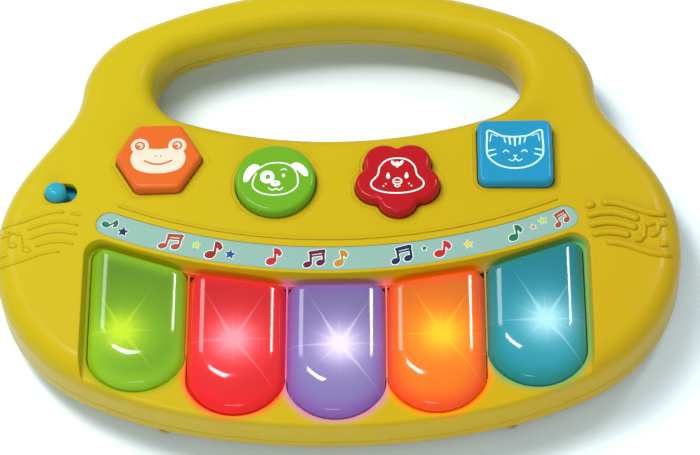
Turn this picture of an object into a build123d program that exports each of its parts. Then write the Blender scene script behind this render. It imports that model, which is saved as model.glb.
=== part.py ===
from build123d import *

import os
from math import asin, cos, degrees, radians, sin, sqrt

# ---------------------------------------------------------------- driving dimensions, in millimetres
# X runs to the right, Y towards the carry handle, Z up out of the playing face; the feet stand on Z = 0.

# outline of the whole toy, right half, as tangent runs from the middle of the front edge
FRONT_RADIUS, FRONT_TURN = 278, 12.3
CORNER_RADIUS, CORNER_TURN = 164, 15.4
SIDE_RADIUS, SIDE_TURN = 69.4, 96.8
SHOULDER_RUN = 23
WAIST_RADIUS, WAIST_TURN = 35, 31.7
HANDLE_RADIUS, HANDLE_TURN = 37.4, 60.5

# carry opening: an oval of four tangent arcs
OPENING_Y = 56
OPENING_HALF_LENGTH, OPENING_HALF_DEPTH, OPENING_END_RADIUS = 76.5, 30.2, 20

# housing
WALL = 2.4
PARTING_Z = 16
PANEL_Z = 36
CROWN_RADIUS, CROWN_Y = 2400, -42
BELLY_Z, BELLY_RADIUS, BELLY_Y = 1.2, 740, -10
TOP_EDGE, OPENING_TOP_EDGE = 9, 8
BOTTOM_EDGE, OPENING_BOTTOM_EDGE = 8, 7
FOOT_RADIUS = 6
FEET = [(-78, -66), (78, -66), (-92, 30), (92, 30)]

# everything on the playing face is laid out on arcs about one point behind the toy
ARC_Y = 195.6
BUTTON_ARC, BUTTON_PITCH = 195.2, 14.46
BEAD_ARC, BEAD_SPAN = 220.4, 47
STRIP_ARC, STRIP_WIDTH, STRIP_SPAN = 229.5, 10.6, 46.8
BAY_ARC, KEY_ARC = 238.4, 239.6

# key bay and keys
BAY_HALF_WIDTH, BAY_FLOOR_Z, BAY_DRAFT, BAY_CORNER = 99.4, 29.4, 18, 5
KEY_PITCH, KEY_WIDTH, KEY_TOP_Z, KEY_SKIRT_Z = 39.3, 38.1, 35.4, 25.6
KEY_NOSE_DEPTH, KEY_NOSE_RADIUS = 16, 12
KEY_WALL, KEY_EDGE, KEY_CORNER, KEY_CROWN_RADIUS = 2, 3.6, 4.4, 130
KEY_GAP = 0.5
KEY_NAMES = ["green", "red", "violet", "orange", "teal"]
KEY_FRONTS = [-89, -100, -102.3, -100, -89]
PIVOT_Z, PIVOT_RADIUS, PIVOT_CLEARANCE = 27.4, 1.3, 0.08
PIVOT_SETBACK = 4
TONGUE_HALF_WIDTH, EAR_THICKNESS, EAR_GAP, EAR_REACH = 12.6, 2.2, 0.3, 2.8

# picture buttons
BUTTON_PROUD, BUTTON_EDGE, BUTTON_GAP, BUTTON_WALL = 4.6, 2.0, 0.35, 2
HEXAGON_RADIUS, HEXAGON_ROUND = 17.85, 3.4
CIRCLE_RADIUS = 16.2
PETAL_RADIUS, PETAL_OFFSET, PETAL_VALLEY = 8.2, 9.2, 2
SQUARE_SIDE, SQUARE_ROUND = 30.3, 3.6
FLANGE_WIDTH, FLANGE_THICKNESS = 1.4, 1.2

# power slider
SLIDER_X, SLIDER_Y, SLIDER_TRAVEL = -113.6, 0.6, 4
KNOB_RADIUS, SLOT_CLEARANCE = 4.4, 0.25
PLATE_Z, PLATE_THICKNESS = 26.4, 1.2

# circuit boards
BOARD = 1.6
MAIN_BOARD_Z, MAIN_INNER_ARC, MAIN_OUTER_ARC, MAIN_SPAN = 22, 175, 214.5, 62
KEY_BOARD_Z = 19.2
SWITCH_BOARD_Z, SWITCH_BOARD_LENGTH, SWITCH_CAN_HEIGHT = 18.4, 27, 4.4
DOME_GAP = 0.2

# battery box for three AA cells lying across the toy
CELL_RADIUS, CELL_LENGTH, CELL_NUB_RADIUS, CELL_NUB = 7.05, 49.2, 2.7, 1.3
CELL_PITCH, CELL_Z, BOX_Y = 14.9, 10.9, -17
BOX_HALF_X, BOX_HALF_Y, BOX_ROOF_Z, BOX_WALL = 29.8, 22.4, 18.6, 1.6
COVER_MARGIN, COVER_TOP_Z, COVER_GAP = 4, 3.5, 0.3
COVER_LUG_Y, COVER_LUG_RADIUS = 12.5, 5
TAB_PLACES, TAB_HALF_WIDTH, TAB_OVERLAP, TAB_THICKNESS = (-18, 18), 5, 2, 1.2
PLATE_METAL = 0.5

# speaker
SPEAKER_X, SPEAKER_Y, SPEAKER_SEAT_Z = -74, 2, 4.4
SPEAKER_RADIUS, MAGNET_RADIUS, MAGNET_HEIGHT = 20, 12, 5.5
GRILLE_HOLE, GRILLE_PITCH, GRILLE_RINGS = 1.3, 4.4, 3

# screws: housing screws enter from below through wells, board screws are small
SCREW_SHANK, SCREW_HEAD, SCREW_HEAD_HEIGHT, SCREW_LENGTH = 1.4, 2.9, 2, 13
SCREW_BORE = 1.45
WELL_RADIUS, WELL_BORE, SEAT_Z, SEAT_THICKNESS = 4.6, 3.4, 8.4, 2
HOUSING_SCREWS = [(120, -38), (91.5, 51), (45, 90.5), (68, -93), (48.5, 21)]
SMALL_SHANK, SMALL_HEAD, SMALL_HEAD_HEIGHT, SMALL_LENGTH = 1.0, 2.2, 1.4, 7
SMALL_BORE, SMALL_POST, HOLE_PLAY = 1.05, 2.8, 0.2
CROSS_LENGTH, CROSS_WIDTH = 1.1, 0.28
MAIN_BOARD_SCREWS = [(0, 16.6), (-48, -7), (48, -7), (-92, 31), (92, 31)]
KEY_BOARD_SCREWS = [(-19.65, -51), (19.65, -51), (-58.95, -84), (58.95, -84)]
SWITCH_BOARD_SCREWS = [(SLIDER_X - 8, SLIDER_Y), (SLIDER_X + 12, SLIDER_Y)]

WIRE_RADIUS, THIN_WIRE_RADIUS, BATTERY_WIRE_Z = 0.7, 0.5, 15
LIP_RADIUS = 1.5
BEAD_WIDTH, BEAD_HEIGHT, STRIP_DEPTH = 1, 0.4, 0.4
KEY_DOME_INSET, KEY_DOME_HEIGHT, BUTTON_DOME_HEIGHT = 15, 3.6, 3.0
KNOB_PROUD, KNOB_EDGE, POST_RADIUS, WELL_RING_Z, WELL_CUP = 4, 3.2, 3.2, 26, 3
WELL_RING_THICKNESS = 1.3
COVER_SCREW_RADIUS, COVER_SCREW_TOP, COVER_SEAT_Z = 1.5, 11, 2.7
SPEAKER_FLOOR_Z, CLAMP_ARC, CLAMP_THICKNESS = 3.4, 22.6, 0.8
SPRING_PITCH, SPRING_WIRE, SPRING_RADIUS = 1.8, 0.4, 3.6
LOW = (Align.CENTER, Align.CENTER, Align.MIN)
BIG = 200


# ---------------------------------------------------------------- shared shapes
def panel_z(x, y):
    """Height of the crowned panel at a place."""
    return PANEL_Z - CROWN_RADIUS + sqrt(CROWN_RADIUS**2 - x**2 - (y - CROWN_Y) ** 2)


def belly_z(y):
    """Height of the gently curved underside at a place."""
    return BELLY_Z + BELLY_RADIUS - sqrt(BELLY_RADIUS**2 - (y - BELLY_Y) ** 2)


def on_arc(radius, turn):
    """Point on an arc of the layout, turned from the middle by degrees."""
    return radius * sin(radians(turn)), ARC_Y - radius * cos(radians(turn))


def arc_y(radius, x):
    """Y of a layout arc at a given X."""
    return ARC_Y - sqrt(radius**2 - x**2)


def post(x, y, radius, low, high):
    return Pos(x, y, low) * Cylinder(radius, high - low, align=LOW)


def block(x0, x1, y0, y1, z0, z1):
    return Pos((x0 + x1) / 2, (y0 + y1) / 2, z0) * Box(x1 - x0, y1 - y0, z1 - z0, align=LOW)


def prism(face, low, high):
    return extrude(Pos(0, 0, low) * face, high - low, dir=(0, 0, 1))


def make_outline():
    """Outline of both housings, centred on the origin."""
    with BuildLine() as half:
        run = JernArc((0, 0), (1, 0), FRONT_RADIUS, FRONT_TURN)
        run = JernArc(run @ 1, run % 1, CORNER_RADIUS, CORNER_TURN)
        run = JernArc(run @ 1, run % 1, SIDE_RADIUS, SIDE_TURN)
        run = Line(run @ 1, run @ 1 + (run % 1) * SHOULDER_RUN)
        run = JernArc(run @ 1, run % 1, WAIST_RADIUS, -WAIST_TURN)
        run = JernArc(run @ 1, run % 1, HANDLE_RADIUS, HANDLE_TURN)
        heading = FRONT_TURN + CORNER_TURN + SIDE_TURN - WAIST_TURN + HANDLE_TURN
        top_radius = (run @ 1).X / sin(radians(heading))
        JernArc(run @ 1, run % 1, top_radius, 180 - heading)
        mirror(about=Plane.YZ)
    face = make_face(half.edges())
    return Pos(0, -face.bounding_box().center().Y) * face


def make_opening():
    """Carry opening between the body and the handle."""
    a, b, r = OPENING_HALF_LENGTH, OPENING_HALF_DEPTH, OPENING_END_RADIUS
    long_radius = ((a - r) ** 2 + b**2 - r**2) / (2 * (b - r))
    turn = degrees(asin((a - r) / (long_radius - r)))
    with BuildLine() as oval:
        run = JernArc((0, -b), (1, 0), long_radius, turn)
        run = JernArc(run @ 1, run % 1, r, 180 - 2 * turn)
        JernArc(run @ 1, run % 1, long_radius, turn)
        mirror(about=Plane.YZ)
    return Pos(0, OPENING_Y) * make_face(oval.edges())


OUTLINE = make_outline()
OPENING = make_opening()


def plan(inset):
    """Plan of the housings, drawn in by an inset."""
    if inset == 0:
        return OUTLINE - OPENING
    return offset(OUTLINE, -inset) - offset(OPENING, inset)


def make_top_block(inset, low):
    """Crowned upper block with rounded edges; the cavity is the same block drawn in by the wall."""
    crown = Pos(0, CROWN_Y, PANEL_Z - CROWN_RADIUS) * Rot(0, 90, 0) * Sphere(CROWN_RADIUS - inset)
    solid = (prism(plan(inset), low, PANEL_Z + 5) & crown).solids()[0]
    top = solid.faces().filter_by(GeomType.SPHERE)[0]
    solid = solid.fillet(TOP_EDGE - inset, top.outer_wire().edges())
    top = solid.faces().filter_by(GeomType.SPHERE)[0]
    return solid.fillet(OPENING_TOP_EDGE - inset, top.inner_wires()[0].edges())


def belly_face(solid):
    return solid.faces().filter_by(GeomType.CYLINDER).sort_by(SortBy.AREA)[-1]


def make_bottom_block(inset, high):
    """Lower block with a gently curved belly and rounded edges."""
    belly = (
        Pos(0, BELLY_Y, BELLY_Z + BELLY_RADIUS)
        * Rot(0, -90, 0)
        * Cylinder(BELLY_RADIUS - inset, 2 * BIG)
    )
    solid = (prism(plan(inset), 0, high) & belly).solids()[0]
    solid = solid.fillet(BOTTOM_EDGE - inset, belly_face(solid).outer_wire().edges())
    return solid.fillet(OPENING_BOTTOM_EDGE - inset, belly_face(solid).inner_wires()[0].edges())


def bay_face(grow):
    """Plan of the key bay at its floor; it runs out through the front edge."""
    half = BAY_HALF_WIDTH + grow
    radius = BAY_ARC - grow
    back = arc_y(radius, half)
    with BuildLine() as line:
        arc = ThreePointArc((-half, back), (0, ARC_Y - radius), (half, back))
        Polyline(arc @ 1, (half, -BIG), (-half, -BIG), arc @ 0)
    face = make_face(line.edges())
    corners = face.vertices().sort_by(Axis.Y)[-2:]
    return fillet(corners, BAY_CORNER + grow)


def make_bay(grow, floor):
    """Space over the bay floor, with walls that lean outwards."""
    face = Pos(0, 0, floor) * bay_face(grow)
    return extrude(face, PANEL_Z + 3 - floor, dir=(0, 0, 1), taper=-BAY_DRAFT)


def bay_block_with_lip(block_solid):
    """Upper block after the bay is sunk into it, with the front lip rounded."""
    solid = (block_solid - make_bay(0, BAY_FLOOR_Z)).solids()[0]
    flats = solid.faces().filter_by(GeomType.PLANE)
    floor = min(flats, key=lambda face: abs(face.center().Z - BAY_FLOOR_Z))
    straight = (GeomType.LINE, GeomType.CIRCLE)
    front = [edge for edge in floor.edges() if edge.geom_type not in straight]
    return solid.fillet(LIP_RADIUS, front)


# ---------------------------------------------------------------- keys
def key_places():
    """Name, middle X and front Y of each key."""
    for index, (name, front) in enumerate(zip(KEY_NAMES, KEY_FRONTS)):
        yield name, (index - 2) * KEY_PITCH, front


def key_face(x, front, grow=0):
    """Plan of a key: the back follows the key arc and the front is a rounded nose."""
    half = KEY_WIDTH / 2 + grow
    depth, corner = KEY_NOSE_DEPTH + grow, KEY_NOSE_RADIUS + grow
    nose = ((half - corner) ** 2 + depth**2 - corner**2) / (2 * (depth - corner))
    turn = degrees(asin((half - corner) / (nose - corner)))
    radius = KEY_ARC - grow
    left, right = (x - half, arc_y(radius, x - half)), (x + half, arc_y(radius, x + half))
    with BuildLine() as line:
        run = JernArc((x - half, front - grow + depth), (0, -1), corner, 90 - turn)
        run = JernArc(run @ 1, run % 1, nose, 2 * turn)
        run = JernArc(run @ 1, run % 1, corner, 90 - turn)
        run = Polyline(run @ 1, right)
        run = ThreePointArc(right, (x, arc_y(radius, x)), left)
        Polyline(left, (x - half, front - grow + depth))
    face = make_face(line.edges())
    return fillet(face.vertices().sort_by(Axis.Y)[-2:], KEY_CORNER + grow)


def key_crown(x, inset):
    """Long cylinder whose top is the crowned top of a key."""
    radius = KEY_CROWN_RADIUS - inset
    return Pos(x, 0, KEY_TOP_Z - KEY_CROWN_RADIUS) * Rot(90, 0, 0) * Cylinder(radius, 2 * BIG)


def pivot_y(x):
    """Hinge line of a key, just behind the bay's back wall across its whole tongue."""
    reach = abs(x) + TONGUE_HALF_WIDTH + EAR_THICKNESS
    return arc_y(BAY_ARC - WALL, reach) + PIVOT_SETBACK


def key_cap(x, front, inset):
    """Crowned cap of a key, or the hollow inside it when inset is the wall."""
    column = prism(key_face(x, front, -inset), KEY_SKIRT_Z, KEY_TOP_Z + 1)
    solid = (column & key_crown(x, inset)).solids()[0]
    top = max(solid.faces(), key=lambda face: face.center().Z)
    return solid.fillet(KEY_EDGE - inset, top.outer_wire().edges())


def make_key(x, front):
    """Hollow key with a stop flange at its nose, a tongue with hinge pins at its back, and a plunger."""
    half = KEY_WIDTH / 2
    flange_top = KEY_SKIRT_Z + FLANGE_THICKNESS
    lane = block(x - half, x + half, front - 5, front + KEY_NOSE_DEPTH - 2, KEY_SKIRT_Z, flange_top)
    nose_gap = block(x - 11, x + 11, front - 5, front + 8, KEY_SKIRT_Z, flange_top)
    room = prism(offset(OUTLINE, -WALL - 0.8), KEY_SKIRT_Z, flange_top)
    flange = (prism(key_face(x, front, 1.2), KEY_SKIRT_Z, flange_top) & lane & room) - nose_gap
    key = key_cap(x, front, 0) + flange
    key -= key_cap(x, front, KEY_WALL)
    hinge = pivot_y(x)
    reach = TONGUE_HALF_WIDTH
    tongue = block(x - reach, x + reach, arc_y(KEY_ARC, x) - 6, hinge, PIVOT_Z - 1.2, PIVOT_Z + 1.0)
    key += tongue - prism(key_face(x, front, -KEY_WALL), 0, PANEL_Z)
    axle = Pos(x, hinge, PIVOT_Z) * Rot(0, 90, 0)
    key += axle * Cylinder(2.2, 2 * reach)
    key += axle * Cylinder(PIVOT_RADIUS, 2 * (reach + EAR_THICKNESS))
    low = KEY_BOARD_Z + BOARD + KEY_DOME_HEIGHT + DOME_GAP
    key += post(x, front + KEY_DOME_INSET, 2.4, low, KEY_TOP_Z - KEY_WALL + 0.5)
    return key.solids()[0]


def key_openings():
    """Spaces cut from the bay floor: one across the backs of all the keys, and one round each nose."""
    low, high = BAY_FLOOR_Z - WALL - 0.4, BAY_FLOOR_Z + 0.5
    side = 2 * KEY_PITCH + KEY_WIDTH / 2 + KEY_GAP
    radius = KEY_ARC - KEY_GAP
    straight_y = max(KEY_FRONTS) + KEY_NOSE_DEPTH + 1
    back = arc_y(radius, side)
    with BuildLine() as line:
        arc = ThreePointArc((-side, back), (0, ARC_Y - radius), (side, back))
        Polyline(arc @ 1, (side, straight_y), (-side, straight_y), arc @ 0)
    face = make_face(line.edges())
    yield prism(fillet(face.vertices().sort_by(Axis.Y)[-2:], KEY_CORNER), low, high)
    for _, x, front in key_places():
        lane = block(x - KEY_PITCH, x + KEY_PITCH, front - 5, straight_y + 1, low, high)
        yield prism(key_face(x, front, KEY_GAP), low, high) & lane
    for index in range(len(KEY_FRONTS) - 1):
        x = (index - 1.5) * KEY_PITCH
        front = max(KEY_FRONTS[index], KEY_FRONTS[index + 1]) + KEY_NOSE_DEPTH
        yield block(x - 1.5, x + 1.5, front, straight_y + 2, low, high)


def make_key_ears(top_block):
    """Pairs of drilled ears under the panel that carry each key's hinge."""
    ears = []
    for _, x, _ in key_places():
        hinge = pivot_y(x)
        for side in (-1, 1):
            middle = x + side * (TONGUE_HALF_WIDTH + EAR_GAP + EAR_THICKNESS / 2)
            low = PIVOT_Z - EAR_REACH
            ear = Pos(middle, hinge, low) * Box(EAR_THICKNESS, 6, PANEL_Z + 1 - low, align=LOW)
            ears.append(ear & top_block)
    bore = None
    for _, x, _ in key_places():
        pin = Pos(x, pivot_y(x), PIVOT_Z) * Rot(0, 90, 0) * Cylinder(
            PIVOT_RADIUS + PIVOT_CLEARANCE, 2 * (TONGUE_HALF_WIDTH + EAR_THICKNESS + EAR_GAP + 0.2)
        )
        bore = pin if bore is None else bore + pin
    return ears, bore


# ---------------------------------------------------------------- picture buttons
def hexagon_face(grow):
    face = RegularPolygon(HEXAGON_RADIUS + grow / cos(radians(30)), 6)
    return fillet(face.vertices(), HEXAGON_ROUND + grow)


def circle_face(grow):
    return Circle(CIRCLE_RADIUS + grow)


def flower_face(grow):
    """Five round petals with one pointing to the player."""
    face = Circle(PETAL_OFFSET)
    for index in range(5):
        angle = radians(-90 + 72 * index)
        face += Pos(PETAL_OFFSET * cos(angle), PETAL_OFFSET * sin(angle)) * Circle(PETAL_RADIUS + grow)
    return fillet(face.vertices(), PETAL_VALLEY)


def square_face(grow):
    return RectangleRounded(SQUARE_SIDE + 2 * grow, SQUARE_SIDE + 2 * grow, SQUARE_ROUND + grow)


# plan of each button and its place on the button arc, counted in pitches from the middle
BUTTONS = [
    ("hexagon", hexagon_face, -1.5),
    ("circle", circle_face, -0.5),
    ("flower", flower_face, 0.5),
    ("square", square_face, 1.5),
]


def button_levels(place):
    """Height of a button's top face and of the top of its hidden flange."""
    x, y = on_arc(BUTTON_ARC, place * BUTTON_PITCH)
    top = panel_z(x, y) + BUTTON_PROUD
    flange = panel_z(abs(x) + 19, y + 15) - WALL - 0.5
    return x, y, top, flange


def make_button(plan_of, place):
    """Hollow cap with a hidden flange and a stem that presses the dome."""
    x, y, top, flange = button_levels(place)
    low = flange - FLANGE_THICKNESS
    cap = prism(Pos(x, y) * plan_of(0), low, top)
    cap = cap.fillet(BUTTON_EDGE, cap.faces().sort_by(Axis.Z)[-1].outer_wire().edges())
    cap += prism(Pos(x, y) * plan_of(FLANGE_WIDTH), low, flange)
    cap -= prism(Pos(x, y) * plan_of(-BUTTON_WALL), low - 1, top - BUTTON_WALL)
    cap += post(x, y, 3.6, MAIN_BOARD_Z + BOARD + BUTTON_DOME_HEIGHT + DOME_GAP, top - BUTTON_WALL)
    return cap.solids()[0]


def reach_of(face):
    """Distance from a button's middle to its furthest edge."""
    return max((edge @ 0.5).length for edge in face.edges())


def make_button_well(plan_of, place, top_block):
    """Round guide wall under the panel round one button."""
    x, y, _, _ = button_levels(place)
    inside = reach_of(plan_of(0)) + FLANGE_WIDTH + 0.5
    ring = Circle(inside + WELL_RING_THICKNESS) - Circle(inside)
    return prism(Pos(x, y) * ring, WELL_RING_Z, PANEL_Z + 1) & top_block


# ---------------------------------------------------------------- strip, slider
def strip_face(width, radius, span):
    """Curved band with round ends, centred on a layout arc."""
    arc = CenterArc((0, ARC_Y), radius, -90 - span / 2, span)
    return SlotArc(arc, width)


def on_panel(face, low, high):
    """Plan shape turned into a layer that follows the panel between two depths below it."""
    place = Pos(0, CROWN_Y, PANEL_Z - CROWN_RADIUS) * Rot(0, 90, 0)
    column = prism(face, PANEL_Z - 9, PANEL_Z + 3) & (place * Sphere(CROWN_RADIUS - high))
    return (column - (place * Sphere(CROWN_RADIUS - low))).solids()[0]


def slider_slot(clearance):
    """Plan of the slider's slot: the knob's circle swept along its travel."""
    width = 2 * (KNOB_RADIUS + clearance)
    middle = SLIDER_X + SLIDER_TRAVEL / 2
    return Pos(middle, SLIDER_Y) * SlotCenterToCenter(SLIDER_TRAVEL, width)


def make_slider_knob():
    plate_top = PLATE_Z + PLATE_THICKNESS
    plate = block(SLIDER_X - 9, SLIDER_X + 12, SLIDER_Y - 6.5, SLIDER_Y + 6.5, PLATE_Z, plate_top)
    top = panel_z(SLIDER_X, SLIDER_Y) + KNOB_PROUD
    knob = post(SLIDER_X, SLIDER_Y, KNOB_RADIUS, plate_top - 0.2, top)
    knob = knob.fillet(KNOB_EDGE, knob.faces().sort_by(Axis.Z)[-1].edges())
    return (plate + knob).solids()[0]


# ---------------------------------------------------------------- housings
def housing_screw_places():
    for x, y in HOUSING_SCREWS:
        yield x, y
        yield -x, y


def seat_z(y):
    """Ledge that a housing screw's head bears on."""
    return max(SEAT_Z, belly_z(y) + 3)


def tongue_slots():
    """Gaps under the bay's back wall for the tongues of the keys."""
    half = TONGUE_HALF_WIDTH + 0.4
    for _, x, _ in key_places():
        front = min(arc_y(KEY_ARC, x - half), arc_y(KEY_ARC, x + half)) - 1
        yield block(x - half, x + half, front, pivot_y(x), BAY_FLOOR_Z - WALL - 0.5, PIVOT_Z + 1.4)


def make_upper_housing():
    outer = bay_block_with_lip(make_top_block(0, PARTING_Z))
    housing = outer - (make_top_block(WALL, PARTING_Z - 1) - make_bay(WALL, BAY_FLOOR_Z - WALL))
    for opening in key_openings():
        housing -= opening
    ears, bore = make_key_ears(outer)
    added = []
    for x, y in housing_screw_places():
        added.append(post(x, y, POST_RADIUS, seat_z(y) + SEAT_THICKNESS + 0.1, PANEL_Z) & outer)
    added += [post(x, y, SMALL_POST, MAIN_BOARD_Z + BOARD, PANEL_Z) & outer for x, y in MAIN_BOARD_SCREWS]
    added += [make_button_well(plan_of, place, outer) for _, plan_of, place in BUTTONS]
    added += ears
    added.append(on_panel(strip_face(BEAD_WIDTH, BEAD_ARC, BEAD_SPAN), 0.6, -BEAD_HEIGHT))
    housing += added
    removed = list(tongue_slots())
    removed.append(bore)
    for _, plan_of, place in BUTTONS:
        x, y, _, flange = button_levels(place)
        removed.append(prism(Pos(x, y) * plan_of(BUTTON_GAP), flange - 0.5, PANEL_Z + 1))
    removed.append(prism(slider_slot(SLOT_CLEARANCE), PLATE_Z + PLATE_THICKNESS, PANEL_Z))
    removed.append(on_panel(strip_face(STRIP_WIDTH + 0.3, STRIP_ARC, STRIP_SPAN), STRIP_DEPTH, -1))
    for x, y in housing_screw_places():
        removed.append(post(x, y, SCREW_BORE, seat_z(y), seat_z(y) + SCREW_LENGTH + 1))
    low = MAIN_BOARD_Z + BOARD
    high = MAIN_BOARD_Z + SMALL_LENGTH + 0.5
    removed += [post(x, y, SMALL_BORE, low, high) for x, y in MAIN_BOARD_SCREWS]
    housing -= removed
    return housing.solids().sort_by(SortBy.VOLUME)[-1]


def cover_plan(gap):
    """Plan of the battery cover: a rounded rectangle with a lug for its screw."""
    half_x, half_y = BOX_HALF_X + COVER_MARGIN - gap, BOX_HALF_Y + COVER_MARGIN - gap
    face = Pos(0, BOX_Y) * RectangleRounded(2 * half_x, 2 * half_y, 3)
    return face + Pos(0, COVER_LUG_Y) * Circle(COVER_LUG_RADIUS - gap)


def make_battery_cover(bottom):
    """Plate cut from the underside, with two tabs that hook under the housing."""
    cover = prism(cover_plan(COVER_GAP), -1, COVER_TOP_Z) & bottom
    edge = BOX_Y - BOX_HALF_Y - COVER_MARGIN
    low, high = COVER_TOP_Z - 0.1, COVER_TOP_Z + TAB_THICKNESS
    for x in TAB_PLACES:
        cover += block(x - TAB_HALF_WIDTH, x + TAB_HALF_WIDTH, edge - TAB_OVERLAP, edge + 6, low, high)
    cover -= post(0, COVER_LUG_Y, COVER_SCREW_RADIUS + 0.2, -1, 10)
    cover -= post(0, COVER_LUG_Y, COVER_SCREW_RADIUS + 1.5, -1, COVER_SEAT_Z)
    return cover.solids()[0]


def speaker_holes():
    """Grille: round holes on a triangular grid inside a circle."""
    reach = GRILLE_RINGS * GRILLE_PITCH + 0.1
    holes = []
    for row in range(-GRILLE_RINGS, GRILLE_RINGS + 1):
        for column in range(-GRILLE_RINGS - 2, GRILLE_RINGS + 3):
            x = (column + row / 2) * GRILLE_PITCH
            y = row * GRILLE_PITCH * sqrt(3) / 2
            if x * x + y * y <= reach * reach:
                holes.append(post(SPEAKER_X + x, SPEAKER_Y + y, GRILLE_HOLE, -1, SPEAKER_SEAT_Z + 1))
    return holes


def clamp_places():
    for index in range(3):
        angle = radians(90 + 120 * index)
        yield SPEAKER_X + CLAMP_ARC * cos(angle), SPEAKER_Y + CLAMP_ARC * sin(angle)


def make_lower_housing(bottom):
    housing = bottom - make_bottom_block(WALL, PARTING_Z + 1)
    top = BOX_ROOF_Z + BOX_WALL
    skin = BELLY_Z + 0.8
    added = []
    for x, y in FEET:
        foot = post(x, y, FOOT_RADIUS, 0, belly_z(y) + WALL)
        added.append(foot.fillet(1, foot.faces().sort_by(Axis.Z)[0].edges()))
    for x, y in housing_screw_places():
        added.append(post(x, y, WELL_RADIUS, BELLY_Z, seat_z(y) + SEAT_THICKNESS + WELL_CUP) & bottom)
    outer_x, outer_y = BOX_HALF_X + BOX_WALL, BOX_HALF_Y + BOX_WALL
    added.append(block(-outer_x, outer_x, BOX_Y - outer_y, BOX_Y + outer_y, skin, top))
    frame_x, frame_y = BOX_HALF_X + COVER_MARGIN + 2, BOX_HALF_Y + COVER_MARGIN + 2
    added.append(block(-frame_x, frame_x, BOX_Y - frame_y, BOX_Y + frame_y, skin, COVER_TOP_Z + 3))
    added.append(post(0, COVER_LUG_Y, COVER_LUG_RADIUS + 2, skin, COVER_TOP_Z + 3))
    added.append(post(0, COVER_LUG_Y, 3.2, skin, COVER_SCREW_TOP + 1))
    added.append(post(SPEAKER_X, SPEAKER_Y, SPEAKER_RADIUS + 2, skin, SPEAKER_SEAT_Z + 1))
    added += [post(x, y, 2.6, skin, SPEAKER_SEAT_Z + 1) for x, y in clamp_places()]
    added += [post(x, y, SMALL_POST, belly_z(y) + 1, KEY_BOARD_Z) for x, y in KEY_BOARD_SCREWS]
    added += [post(x, y, SMALL_POST, belly_z(y) + 1, SWITCH_BOARD_Z) for x, y in SWITCH_BOARD_SCREWS]
    housing += added
    box = block(
        -BOX_HALF_X, BOX_HALF_X, BOX_Y - BOX_HALF_Y, BOX_Y + BOX_HALF_Y, COVER_TOP_Z - 1, BOX_ROOF_Z
    )
    removed = [box, prism(cover_plan(0), -1, COVER_TOP_Z + 0.1)]
    edge = BOX_Y - BOX_HALF_Y - COVER_MARGIN
    low, high = COVER_TOP_Z - COVER_GAP, COVER_TOP_Z + TAB_THICKNESS + COVER_GAP
    reach = TAB_HALF_WIDTH + 0.4
    for x in TAB_PLACES:
        removed.append(block(x - reach, x + reach, edge - TAB_OVERLAP - 0.4, edge + 6, low, high))
    removed.append(post(0, COVER_LUG_Y, COVER_SCREW_RADIUS - 0.2, 0, COVER_SCREW_TOP))
    removed.append(post(SPEAKER_X, SPEAKER_Y, SPEAKER_RADIUS + 0.3, SPEAKER_SEAT_Z, SPEAKER_SEAT_Z + 2))
    removed.append(post(SPEAKER_X, SPEAKER_Y, SPEAKER_RADIUS - 3.5, SPEAKER_FLOOR_Z, SPEAKER_SEAT_Z + 1))
    removed += speaker_holes()
    low, high = SPEAKER_FLOOR_Z - 1, SPEAKER_SEAT_Z + 2
    removed += [post(x, y, SMALL_BORE, low, high) for x, y in clamp_places()]
    for x, y in housing_screw_places():
        seat = seat_z(y)
        removed.append(post(x, y, WELL_BORE, -1, seat))
        removed.append(post(x, y, SCREW_SHANK + 0.3, seat - 1, seat + SEAT_THICKNESS + 1))
        removed.append(post(x, y, POST_RADIUS + 0.1, seat + SEAT_THICKNESS, PARTING_Z + 5))
    for x, y in KEY_BOARD_SCREWS:
        removed.append(post(x, y, SMALL_BORE, KEY_BOARD_Z - SMALL_LENGTH, KEY_BOARD_Z + 1))
    for x, y in SWITCH_BOARD_SCREWS:
        removed.append(post(x, y, SMALL_BORE, SWITCH_BOARD_Z - SMALL_LENGTH, SWITCH_BOARD_Z + 1))
    housing -= removed
    return housing.solids().sort_by(SortBy.VOLUME)[-1]


# ---------------------------------------------------------------- boards and electrics
def make_main_board():
    """Arched board under the four buttons."""
    ring = Circle(MAIN_OUTER_ARC) - Circle(MAIN_INNER_ARC)
    side = 2 * BIG * sin(radians(MAIN_SPAN / 2))
    away = -2 * BIG * cos(radians(MAIN_SPAN / 2))
    wedge = make_face(Polyline((0, 0), (side, away), (-side, away), (0, 0)))
    face = Pos(0, ARC_Y) * (ring & wedge)
    for x, y in MAIN_BOARD_SCREWS:
        face -= Pos(x, y) * Circle(SMALL_SHANK + HOLE_PLAY)
    well_x, well_y = HOUSING_SCREWS[-1]
    for side in (-1, 1):
        face -= Pos(side * well_x, well_y) * Circle(POST_RADIUS + 1)
    return prism(face, MAIN_BOARD_Z, MAIN_BOARD_Z + BOARD)


def make_key_board():
    face = (Pos(0, -69.5) * Rectangle(192, 45)) & offset(OUTLINE, -WALL - 2.5)
    for x, y in housing_screw_places():
        face -= Pos(x, y) * Circle(WELL_RADIUS + 1)
    for x, y in KEY_BOARD_SCREWS:
        face -= Pos(x, y) * Circle(SMALL_SHANK + HOLE_PLAY)
    return prism(face, KEY_BOARD_Z, KEY_BOARD_Z + BOARD)


def make_switch_board():
    middle = SLIDER_X + SLIDER_TRAVEL / 2
    face = Pos(middle, SLIDER_Y) * RectangleRounded(SWITCH_BOARD_LENGTH, 14, 1)
    for x, y in SWITCH_BOARD_SCREWS:
        face -= Pos(x, y) * Circle(SMALL_SHANK + HOLE_PLAY)
    return prism(face, SWITCH_BOARD_Z, SWITCH_BOARD_Z + BOARD)


def make_dome(x, y, low, height):
    """Hollow silicone dome."""
    return Pos(x, y, low) * (Cone(5, 2.6, height, align=LOW) - Cone(4, 1.8, height - 1, align=LOW))


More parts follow.
